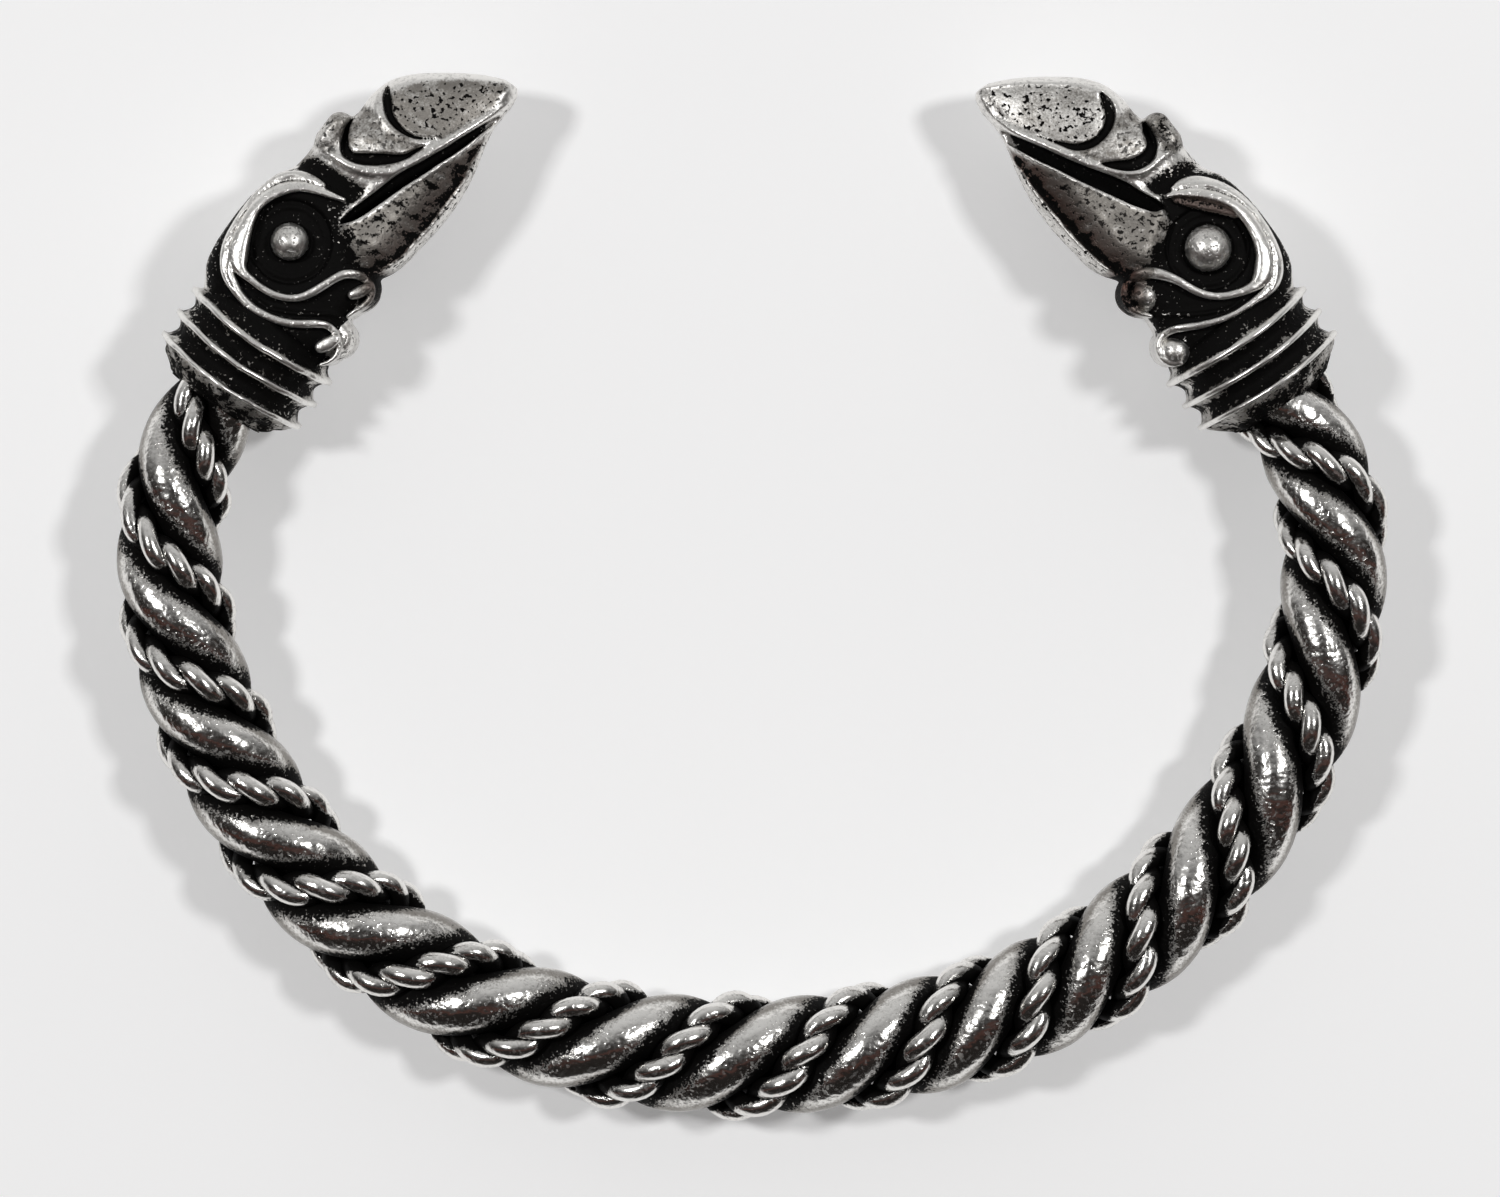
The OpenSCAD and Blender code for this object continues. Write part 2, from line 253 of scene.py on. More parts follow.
def rest():
    """How the ring leans when it lies down, and the shift that puts it in the frame's own place."""
    rods = [frame_strand(ROD_SEAT, ROD_DIAMETER, phase, 12, 0) for phase in (0, 180)]
    ropes = [frame_strand(ROPE_SEAT, ROPE_DIAMETER, phase, 8, ROPE_START) for phase in (90, 270)]
    points = np.concatenate(rods + ropes)
    behind = points[points[:, 1] < LEFT_RIB[1] - 2 * COLLAR_RADIUS]
    slope = ((behind[:, 2] + COLLAR_RADIUS) / (LEFT_RIB[1] - behind[:, 1])).min()
    lean = math.degrees(math.atan(slope))
    low, high = (np.array(corner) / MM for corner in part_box("rod_1"))
    leaning = leaned(rods[0], lean)
    return lean, (low + high) / 2 - (leaning.min(0) + leaning.max(0)) / 2


def leaned(points, lean):
    y = points[..., 1] * cosd(lean) - points[..., 2] * sind(lean)
    z = points[..., 1] * sind(lean) + points[..., 2] * cosd(lean)
    return np.stack([points[..., 0], y, z], -1)


LEAN, SHIFT = rest()


def rested(points):
    return leaned(points, LEAN) + SHIFT


def strand_distance(points, seat, phase):
    """Distance from points of the straight twist to the middle line of a strand, wound round with them."""
    shift = np.linspace(-4, 4, 41)
    at = points[..., 0][..., None] + shift
    angle = phase + twist_angle(at)
    out = points[..., 1][..., None] - seat * cosd(angle)
    up = points[..., 2][..., None] - seat * sind(angle)
    return np.sqrt(shift ** 2 + out ** 2 + up ** 2).min(-1)


# Meshes

def net_quads(rows, columns):
    """Quads of a net of points whose rows close on themselves."""
    row, column = np.meshgrid(np.arange(rows - 1), np.arange(columns), indexing="ij")
    first = row * columns + column
    second = row * columns + (column + 1) % columns
    return np.stack([first, second, second + columns, first + columns], -1).reshape(-1, 4)


def volume_sign(points, quads):
    a, b, c, d = (points[quads[:, i]] for i in range(4))
    return np.sign(np.einsum("ij,ij->i", a, np.cross(b, c) + np.cross(c, d)).sum())


def merged(parts):
    """Several (points, faces, masks) made into one."""
    points, faces, masks, start = [], [], {}, 0
    for part_points, part_faces, part_masks in parts:
        points.append(part_points)
        faces += [[corner + start for corner in face] for face in part_faces]
        for name, values in part_masks.items():
            masks.setdefault(name, []).append(values)
        start += len(part_points)
    return np.concatenate(points), faces, {name: np.concatenate(values) for name, values in masks.items()}


def tube_part(net, masks):
    """A closed tube from a net of points, with a flat face on each end."""
    rows, columns = net.shape[:2]
    points = net.reshape(-1, 3)
    quads = net_quads(rows, columns)
    ends = [list(range(columns))[::-1], list(range((rows - 1) * columns, rows * columns))]
    if volume_sign(points, quads) < 0:
        quads = quads[:, ::-1]
        ends = [end[::-1] for end in ends]
    return points, quads.tolist() + ends, {name: values.reshape(-1) for name, values in masks.items()}


def new_piece(name, part, node, material):
    """A smooth mesh piece that stands for one CAD node."""
    points, faces, masks = part
    mesh = bpy.data.meshes.new(name)
    mesh.from_pydata(points * MM, [], faces)
    mesh.polygons.foreach_set("use_smooth", np.ones(len(mesh.polygons), bool))
    for mask, values in masks.items():
        layer = mesh.attributes.new(mask, "FLOAT", "POINT")
        layer.data.foreach_set("value", np.asarray(values, np.float32))
    mesh.materials.append(material)
    piece = bpy.data.objects.new(name, mesh)
    bpy.context.scene.collection.objects.link(piece)
    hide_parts(node)
    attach(piece, "root")


def ripple(u, v, seed, waves=7, shortest=2.5, longest=12):
    """Gentle seeded unevenness over two lengths, between about -1 and 1."""
    dice = np.random.default_rng(seed)
    total = 0
    for _ in range(waves):
        length = dice.uniform(shortest, longest)
        heading, start = dice.uniform(0, 2 * math.pi, 2)
        across = u * math.cos(heading) + v * math.sin(heading)
        total = total + np.sin(across * 2 * math.pi / length + start)
    return total / math.sqrt(waves * 2)


# Rods

ROD_SIDES = 40
ROD_STEPS = 640
ROD_UNEVENNESS = 0.012
VALLEY_REACH = 1.8
# How much painted shade darkens the rods' sides and undersides
ROD_SIDE_SHADE = 0.2
FREE_TWIST_AT = 50.0


def rod_side_shade_of(net):
    """Which points of a rod lie on its side or, less so, underneath: painted shade makes them darker and
    duller there.
    """
    upward = unit(net - net.mean(axis=1, keepdims=True))[..., 2]
    return smooth(-upward, -0.72, -0.45) * (1 - 0.55 * smooth(-upward, -0.4, 0))


def rod_part(phase, seed):
    """One smooth rod, a little uneven, with its closeness to the strands beside it and painted shade on its
    sides.
    """
    at = np.linspace(0, HOOP.length, ROD_STEPS)
    around = np.arange(ROD_SIDES) * 2 * math.pi / ROD_SIDES
    lumps = ROD_UNEVENNESS * ripple(at[:, None], around * ROD_DIAMETER / 2, seed)
    outline = strand_outline(ROD_SEAT, ROD_DIAMETER, ROD_SIDES)
    middle = np.array([ROD_SEAT, 0])
    outlines = middle + (outline - middle) * (1 + 2 * ROD_SWELL / ROD_DIAMETER + lumps)[..., None]
    net = rested(hand_bent(laid_up(outlines, at, phase + hand_lead(at))))
    ring = laid_up(outline[None], np.array([FREE_TWIST_AT]), phase)
    ropes = [strand_distance(ring, ROPE_SEAT, phase + side) for side in (90, -90)]
    to_rope = np.minimum(*ropes) - ROPE_DIAMETER / 2
    to_rod = strand_distance(ring, ROD_SEAT, phase + 180) - ROD_DIAMETER / 2
    valley = 1 - np.minimum(to_rope, to_rod) / VALLEY_REACH + np.zeros((ROD_STEPS, 1))
    # Painted shade on the rod's sides and underside, in the black tarnish and in the matt mask
    rod_side_shade = rod_side_shade_of(net)
    tarnish_and_shade = np.clip(valley + ROD_SIDE_SHADE * rod_side_shade, 0, 1)
    pitted = 0.1 + 0.4 * smooth(valley, 0.0, 0.4)
    return tube_part(net, {"tarnish_and_shade": tarnish_and_shade, "pitted": pitted, "dull": rod_side_shade, "brown": 0 * tarnish_and_shade})


# Ropes of two wires

WIRE_SIDES = 14
WIRE_STEPS_PER_TURN = 16
WIRE_TUCK = 0.5
WIRE_WANDER = 9
WIRE_UNEVENNESS = 0.03
WIRE_VALLEY = 0.55
ROD_VALLEY = 1.2


def helix(seat, angle, at):
    return np.stack([at, seat * cosd(angle), seat * sind(angle)], -1)


def side_frame(line, outward):
    """Two directions square to a line of points, the first as near outward as it can be."""
    tangent = unit(np.gradient(line, axis=0))
    side = unit(np.cross(tangent, outward))
    return np.cross(side, tangent), side


def wire_part(rope_phase, wire_phase, seed):
    """One of the two wires of a rope, with its closeness to the other wire and to the rods."""
    start = ROPE_START - WIRE_TUCK
    turns = (HOOP.length - 2 * start) / WIRE_LAY
    at = np.linspace(start, HOOP.length - start, int(turns * WIRE_STEPS_PER_TURN))
    angle = rope_phase + hand_lead(at) + twist_angle(at)
    seat = ROPE_SEAT - WIRE_PRESS
    axis = helix(seat, angle, at)
    out, side = side_frame(axis, axis * [0, 1, 1])
    wander = WIRE_WANDER * ripple(at, 0 * at, seed, longest=30)
    turn = (wire_phase - at / WIRE_LAY * 360 + wander)[:, None]
    offset = WIRE_OFFSET * (cosd(turn) * out + sind(turn) * side)
    line = axis + offset
    first, second = side_frame(line, out)
    around = (np.arange(WIRE_SIDES) * 360 / WIRE_SIDES)[:, None]
    radius = WIRE_RADIUS * (1 + WIRE_UNEVENNESS * ripple(at, 0 * at, seed + 50, longest=9))
    round_it = cosd(around) * first[:, None] + sind(around) * second[:, None]
    net = line[:, None] + radius[:, None, None] * round_it
    to_other = np.linalg.norm(net - (axis - offset)[:, None], axis=-1) - WIRE_RADIUS
    lead = hand_lead(net[..., :1])
    to_rod = np.minimum(*(strand_distance(net, ROD_SEAT, phase + lead) for phase in (0, 180)))
    to_rod = to_rod - ROD_DIAMETER / 2 + WIRE_PRESS
    tarnish_and_shade = np.maximum(1 - to_other / WIRE_VALLEY, 1 - to_rod / ROD_VALLEY)
    depth = seat + WIRE_OFFSET + WIRE_RADIUS - np.hypot(net[..., 1], net[..., 2])
    tarnish_and_shade = np.clip(np.maximum(tarnish_and_shade, smooth(depth, 0.15, 1.1)), 0, 1)
    masks = {"tarnish_and_shade": tarnish_and_shade, "pitted": 0 * tarnish_and_shade + 0.1, "dull": 0 * tarnish_and_shade, "brown": 0 * tarnish_and_shade}
    return tube_part(rested(hand_bent(net)), masks)


# Raven heads. X runs from the last rib to the tip of the beak, Y towards the crown and Z out of the face.

GRID = np.array([0.116, 0.116, 0.15])
TIP_AT = 27.1
NECK_AT = 4.0
GRID_LOW = (NECK_AT - 0.4, -6.7, -5.3)
GRID_HIGH = (TIP_AT + 0.6, 6.9, 5.3 + GRID[2])
EYE_TOP = 4.9
EYE_SOCKET_RADIUS = 2.8
EYE_SOCKET_FLOOR = 3.25
EYE_RING_RADIUS = 2.35
EYE_RING_HALF = 0.13
KNOB_RADIUS = 0.9
KNOB_TOP = 3.0
LOBE_TOP = 3.1
CURL_TOP = 3.95
RIDGE_TOP = 3.6
GAPE_WEB = 0.8

# Heights above the side of the head, and depths below it or below the ridges
LIP_HEIGHT = 0.14
BILL_EDGE_HEIGHT = 0.12
RIDGE_HEIGHT = 0.06
FOLD_DEPTH = 0.62
NOSTRIL_DEPTH = 0.75
BILL_GROOVE_DEPTH = 0.6
THROAT_DEPTH = 0.25
LEDGE_DEPTH = 0.42
SCORE_DEPTH = 0.2

# Along, crown, chin, half thickness, depth of the ground under the ridges, and squareness
HEAD_SECTIONS = [
    [3.8, 4.90, -4.50, 4.60, 0.70, 2.4],
    [4.6, 5.30, -4.60, 4.60, 0.85, 3.0],
    [5.5, 5.75, -4.65, 4.60, 0.85, 4.0],
    [7.0, 6.00, -4.40, 4.60, 0.85, 5.0],
    [9.0, 6.02, -4.30, 4.60, 0.85, 5.0],
    [11.0, 5.85, -4.20, 4.55, 0.85, 5.0],
    [12.0, 5.65, -4.75, 4.45, 0.82, 4.8],
    [13.0, 5.35, -5.10, 4.30, 0.75, 4.4],
    [14.3, 4.60, -5.35, 3.90, 0.50, 3.6],
    [15.2, 4.45, -5.50, 3.60, 0.26, 3.2],
    [16.5, 4.35, -5.68, 3.40, 0.05, 3.0],
    [18.0, 3.90, -5.75, 3.25, 0.00, 3.0],
    [19.4, 3.25, -5.70, 3.10, 0.00, 3.0],
    [21.3, 3.10, -5.40, 2.90, 0.00, 3.2],
    [22.8, 2.55, -5.05, 2.70, 0.00, 3.2],
    [24.0, 1.50, -4.90, 2.45, 0.00, 3.0],
    [25.0, 0.20, -4.95, 2.15, 0.00, 2.6],
    [26.0, -1.30, -4.98, 1.75, 0.00, 2.3],
    [26.7, -2.60, -4.90, 1.30, 0.00, 2.0],
    [27.1, -3.60, -4.60, 0.80, 0.00, 2.0],
]

# Lines on the two faces, as the camera sees them: along, up and half width. Balls and eyes have a radius.
# Droop lowers the beak, dish hollows its flat side and lean tips its lower side in and sets how much painted
# shade and painted warm reflection lie there. The other values darken.
LEFT_FACE = {
    "eye": (9.95, 2.15, 1.32),
    "balls": [],
    "tongues": [
        [[10.40, -3.80, 0.30], [9.90, -3.58, 0.42], [9.45, -3.28, 0.34]],
        [[6.35, -3.98, 0.34], [5.80, -3.74, 0.50], [5.35, -3.48, 0.40]]],
    "lobes": [(10.0, -3.6, 1.4), (6.35, -4.3, 1.4)],
    "droop": 0.0,
    "dish": 0.12,
    "lean": 0.5,
    "tarnish": 0.15,
    "bill_dull": 0.6,
    "knob_tarnish": -0.10,
    "brow": [
        [14.3, 0.75, 0.14], [14.08, 1.6, 0.22], [13.85, 2.6, 0.32], [13.38, 3.72, 0.4],
        [12.62, 4.52, 0.44], [11.6, 5.12, 0.44], [10.5, 5.38, 0.44], [9.4, 5.26, 0.53],
        [8.4, 5.0, 0.64], [7.55, 4.66, 0.72], [6.9, 4.24, 0.66], [6.52, 3.6, 0.36], [6.42, 2.8, 0.25],
        [6.38, 1.8, 0.24], [6.52, 0.85, 0.24], [6.88, 0.0, 0.24], [7.4, -0.6, 0.26], [8.1, -1.03, 0.28],
        [8.9, -1.4, 0.28], [9.7, -1.75, 0.28], [10.3, -2.15, 0.3], [10.68, -2.75, 0.29],
        [10.78, -3.4, 0.28], [10.55, -4.0, 0.25], [9.95, -4.35, 0.22], [9.3, -4.28, 0.2],
        [8.6, -4.0, 0.16], [8.05, -3.8, 0.12]],
    "crest": [
        [14.35, 2.4, 0.14], [14.22, 3.3, 0.28], [13.9, 4.18, 0.34], [13.36, 4.86, 0.32],
        [12.7, 5.28, 0.29], [11.8, 5.6, 0.25], [10.8, 5.82, 0.21], [9.8, 5.88, 0.2], [8.8, 5.84, 0.21],
        [7.9, 5.7, 0.25], [7.1, 5.42, 0.29], [6.45, 5.02, 0.33], [5.95, 4.48, 0.42], [5.52, 3.78, 0.4],
        [5.18, 3.0, 0.33], [4.98, 2.2, 0.3], [4.93, 1.4, 0.28], [5.03, 0.6, 0.27], [5.25, -0.3, 0.27],
        [5.6, -1.1, 0.28], [6.05, -1.8, 0.28], [6.5, -2.45, 0.27], [6.78, -3.0, 0.24],
        [6.74, -3.55, 0.23], [6.4, -4.2, 0.2], [5.7, -4.62, 0.18], [4.9, -4.5, 0.14], [4.35, -4.1, 0.1]],
    "ledges": [],
    "score": [
        [5.3, 3.6, 0.02], [5.62, 4.18, 0.05], [6.05, 4.55, 0.06], [6.5, 4.87, 0.07], [7.0, 5.19, 0.07],
        [8.0, 5.54, 0.07], [9.0, 5.69, 0.06], [10.0, 5.74, 0.06], [11.0, 5.67, 0.06],
        [12.0, 5.38, 0.07], [12.8, 4.95, 0.08], [13.4, 4.38, 0.08], [13.8, 3.7, 0.08],
        [14.02, 3.0, 0.07], [14.15, 2.2, 0.04]],
    "gape": [
        [12.9, 0.05, 0.05], [13.5, -0.2, 0.3], [14.2, -0.48, 0.4], [15.0, -0.75, 0.42],
        [16.0, -1.1, 0.43], [17.0, -1.42, 0.45], [18.0, -1.82, 0.45], [19.0, -2.3, 0.4],
        [20.0, -2.72, 0.36], [21.0, -3.17, 0.34], [22.0, -3.55, 0.32], [23.0, -3.9, 0.25],
        [24.0, -4.25, 0.18], [24.8, -4.55, 0.12]],
    "lip": [
        [16.25, 4.1, 0.12], [16.3, 3.2, 0.16], [16.35, 2.3, 0.18], [16.5, 1.4, 0.24], [16.8, 0.6, 0.32],
        [17.25, -0.15, 0.34], [17.9, -0.85, 0.32], [18.7, -1.35, 0.28], [19.6, -1.85, 0.25],
        [20.6, -2.35, 0.22], [22.0, -3.0, 0.18], [23.5, -3.7, 0.17], [25.0, -4.3, 0.15],
        [26.0, -4.65, 0.1]],
    "nostril": [
        [19.0, 3.48, 0.08], [18.5, 3.42, 0.14], [17.95, 3.2, 0.18], [17.4, 2.9, 0.27],
        [17.02, 2.5, 0.32], [16.97, 2.0, 0.3], [17.15, 1.5, 0.36], [17.5, 0.9, 0.4],
        [17.95, 0.25, 0.38], [18.45, -0.4, 0.28], [19.0, -0.95, 0.17], [19.7, -1.3, 0.1],
        [20.3, -1.6, 0.04]],
    "bill_groove": [
        [22.1, 2.65, 0.12], [21.7, 2.42, 0.26], [21.25, 2.05, 0.28], [20.8, 1.62, 0.24],
        [20.5, 1.1, 0.22], [20.35, 0.5, 0.19], [20.3, 0.0, 0.14], [20.42, -0.7, 0.09],
        [20.75, -1.35, 0.06], [21.1, -1.9, 0.04]],
    "bill_edge": [
        [21.3, 3.0, 0.08], [20.7, 2.65, 0.14], [20.3, 2.0, 0.17], [20.05, 1.25, 0.18],
        [19.97, 0.5, 0.18], [19.97, -0.3, 0.17], [20.15, -1.0, 0.14], [20.4, -1.5, 0.06]],
    "throat": [
        [11.4, -3.8, 0.04], [12.1, -3.95, 0.08], [13.0, -4.35, 0.11], [14.6, -4.6, 0.13],
        [16.0, -4.78, 0.14], [18.0, -4.88, 0.14], [20.0, -4.92, 0.14], [22.0, -4.65, 0.13],
        [23.5, -4.62, 0.08]],
}
RIGHT_FACE = {
    "eye": (9.60, 1.95, 1.70),
    "balls": [(9.45, -3.25, 1.12), (5.25, -3.72, 1.05)],
    "tongues": [],
    "lobes": [(9.8, -3.5, 1.4), (5.6, -3.75, 1.3)],
    "droop": 0.3,
    "dish": 0.24,
    "lean": 0.8,
    "tarnish": 0.0,
    "bill_dull": 0.15,
    "knob_tarnish": 0.42,
    "brow": [
        [14.02, 1.7, 0.14], [13.75, 2.45, 0.3], [13.2, 3.3, 0.44], [12.5, 4.05, 0.48], [11.7, 4.7, 0.5],
        [10.8, 5.13, 0.48], [9.8, 5.3, 0.5], [8.8, 5.29, 0.54], [7.8, 5.08, 0.58], [7.0, 4.77, 0.66],
        [6.4, 4.33, 0.72], [5.95, 3.7, 0.62], [5.8, 3.05, 0.4], [5.87, 2.45, 0.3], [6.08, 1.75, 0.26],
        [6.4, 0.98, 0.25], [6.85, 0.35, 0.25], [7.45, -0.18, 0.26], [8.15, -0.58, 0.26],
        [9.0, -0.97, 0.28], [9.65, -1.38, 0.34], [10.25, -1.9, 0.38], [10.68, -2.5, 0.36],
        [10.88, -3.2, 0.3], [10.75, -3.85, 0.26], [10.25, -4.38, 0.25], [9.6, -4.55, 0.23],
        [8.95, -4.38, 0.2], [8.4, -4.0, 0.16], [8.08, -3.7, 0.12]],
    "crest": [
        [14.2, 2.3, 0.16], [14.15, 3.0, 0.28], [13.78, 3.8, 0.34], [13.08, 4.55, 0.33],
        [12.3, 5.12, 0.3], [11.4, 5.56, 0.27], [10.4, 5.83, 0.23], [9.3, 5.91, 0.22], [8.2, 5.87, 0.23],
        [7.2, 5.67, 0.28], [6.3, 5.33, 0.34], [5.6, 4.84, 0.38], [5.14, 4.2, 0.37], [4.97, 3.4, 0.33],
        [4.96, 2.5, 0.26], [4.98, 1.7, 0.22], [5.03, 0.9, 0.2], [5.2, 0.05, 0.21], [5.48, -0.8, 0.23],
        [5.83, -1.65, 0.25], [6.18, -2.35, 0.26], [6.47, -2.95, 0.25], [6.58, -3.55, 0.24],
        [6.45, -4.15, 0.22], [5.95, -4.58, 0.21], [5.25, -4.68, 0.2], [4.65, -4.38, 0.18],
        [4.32, -3.8, 0.12]],
    "ledges": [
        [[10.3, 4.62, 0.16], [10.8, 4.45, 0.34], [11.5, 3.98, 0.46], [12.2, 3.35, 0.48],
         [12.9, 2.65, 0.42], [13.5, 2.0, 0.26]]],
    "score": [
        [5.1, 3.75, 0.02], [5.35, 4.15, 0.05], [5.85, 4.6, 0.06], [6.4, 5.02, 0.07], [7.2, 5.4, 0.07],
        [8.2, 5.64, 0.07], [9.0, 5.71, 0.06], [10.0, 5.66, 0.06], [11.0, 5.36, 0.07],
        [12.0, 4.82, 0.08], [12.8, 4.2, 0.08], [13.45, 3.42, 0.08], [13.85, 2.7, 0.06],
        [14.0, 2.2, 0.03]],
    "gape": [
        [13.5, 1.1, 0.08], [13.9, 0.7, 0.4], [14.5, 0.3, 0.5], [15.2, -0.1, 0.56], [16.0, -0.5, 0.61],
        [17.0, -1.1, 0.6], [18.0, -1.74, 0.55], [19.0, -2.35, 0.5], [20.0, -2.92, 0.46],
        [21.0, -3.5, 0.46], [22.0, -4.05, 0.41], [23.0, -4.55, 0.33], [24.0, -4.92, 0.2],
        [24.8, -5.2, 0.12]],
    "lip": [
        [16.3, 3.6, 0.1], [16.35, 2.8, 0.14], [16.25, 1.9, 0.18], [16.4, 1.1, 0.24], [16.9, 0.4, 0.26],
        [17.6, -0.35, 0.26], [18.4, -1.0, 0.25], [19.2, -1.55, 0.24], [20.1, -2.15, 0.23],
        [21.2, -2.85, 0.2], [22.4, -3.6, 0.18], [23.6, -4.3, 0.17], [24.8, -4.75, 0.14],
        [25.9, -5.05, 0.1]],
    "nostril": [
        [18.8, 3.3, 0.15], [18.35, 3.15, 0.28], [17.8, 3.05, 0.32], [17.3, 2.8, 0.35],
        [16.97, 2.3, 0.42], [16.9, 1.65, 0.44], [17.1, 0.9, 0.4], [17.5, 0.3, 0.32],
        [17.95, -0.25, 0.2], [18.3, -0.65, 0.05]],
    "bill_groove": [
        [22.1, 2.05, 0.12], [21.5, 2.0, 0.3], [20.8, 1.8, 0.34], [20.2, 1.3, 0.3], [19.82, 0.5, 0.26],
        [19.75, -0.3, 0.25], [19.95, -1.0, 0.25], [20.35, -1.6, 0.2], [20.9, -2.05, 0.12],
        [21.5, -2.5, 0.07], [22.3, -3.1, 0.04]],
    "bill_edge": [
        [21.3, 2.6, 0.1], [20.6, 2.4, 0.14], [19.95, 2.1, 0.18], [19.55, 1.5, 0.2], [19.3, 0.7, 0.22],
        [19.28, -0.2, 0.24], [19.45, -1.0, 0.22], [19.85, -1.7, 0.15]],
    "throat": [
        [11.1, -3.75, 0.04], [12.2, -4.15, 0.12], [14.0, -4.6, 0.16], [16.0, -4.88, 0.16],
        [18.0, -5.05, 0.16], [20.0, -5.2, 0.16], [21.5, -5.2, 0.12], [22.6, -5.1, 0.06]],
}
FOLD = [
    [5.55, 2.00, 0.08], [5.50, 1.00, 0.10], [5.85, 0.00, 0.10], [6.35, -1.00, 0.10], [6.95, -1.95, 0.10],
    [7.55, -2.80, 0.10], [7.80, -3.50, 0.08]]
KNOB_BAR = [[16.95, 3.74, 0.85], [18.25, 3.68, 0.85]]
RIDGES_AND_GROOVES = (
    "brow", "crest", "gape", "lip", "nostril", "bill_groove", "bill_edge", "throat", "score")


def unlifted(x, y):
    """True height of a point high on the face, which the camera sees nearer the crown."""
    return y - (0.45 - 0.0085 * x)


class Line:
    """A smooth line through rows of along, up and half width."""

    def __init__(self, rows, seen=True, samples=160):
        rows = np.array(rows, float)
        if seen:
            rows[:, 1] = unlifted(rows[:, 0], rows[:, 1])
        steps = np.hypot(*np.diff(rows[:, :2], axis=0).T)
        at = np.concatenate([[0], np.cumsum(steps)])
        spots = np.linspace(0, at[-1], samples)
        self.x, self.y, self.half = (hermite(at, column, spots) for column in rows.T)

    def near(self, x, y):
        """Distance from the line, and its half width there, for a net of points."""
        apart = np.hypot(x[..., None] - self.x, y[..., None] - self.y)
        nearest = apart.argmin(-1)
        best, half = apart.min(-1), self.half[nearest]
        for step in (-1, 0):
            i = np.clip(nearest + step, 0, len(self.x) - 2)
            run_x, run_y = self.x[i + 1] - self.x[i], self.y[i + 1] - self.y[i]
            t = ((x - self.x[i]) * run_x + (y - self.y[i]) * run_y) / (run_x ** 2 + run_y ** 2)
            t = np.clip(t, 0, 1)
            off = np.hypot(x - self.x[i] - t * run_x, y - self.y[i] - t * run_y)
            half = np.where(off < best, self.half[i] * (1 - t) + self.half[i + 1] * t, half)
            best = np.minimum(best, off)
        return best, half


def joined(a, b, blend):
    """Both bodies, with a fillet of a width between them. A field is negative inside a body."""
    near = np.maximum(blend - np.abs(a - b), 0) / blend
    return np.minimum(a, b) - near * near * blend / 4


def without(a, b, blend):
    """The first body with the second cut out of it."""
    return -joined(-a, b, blend)


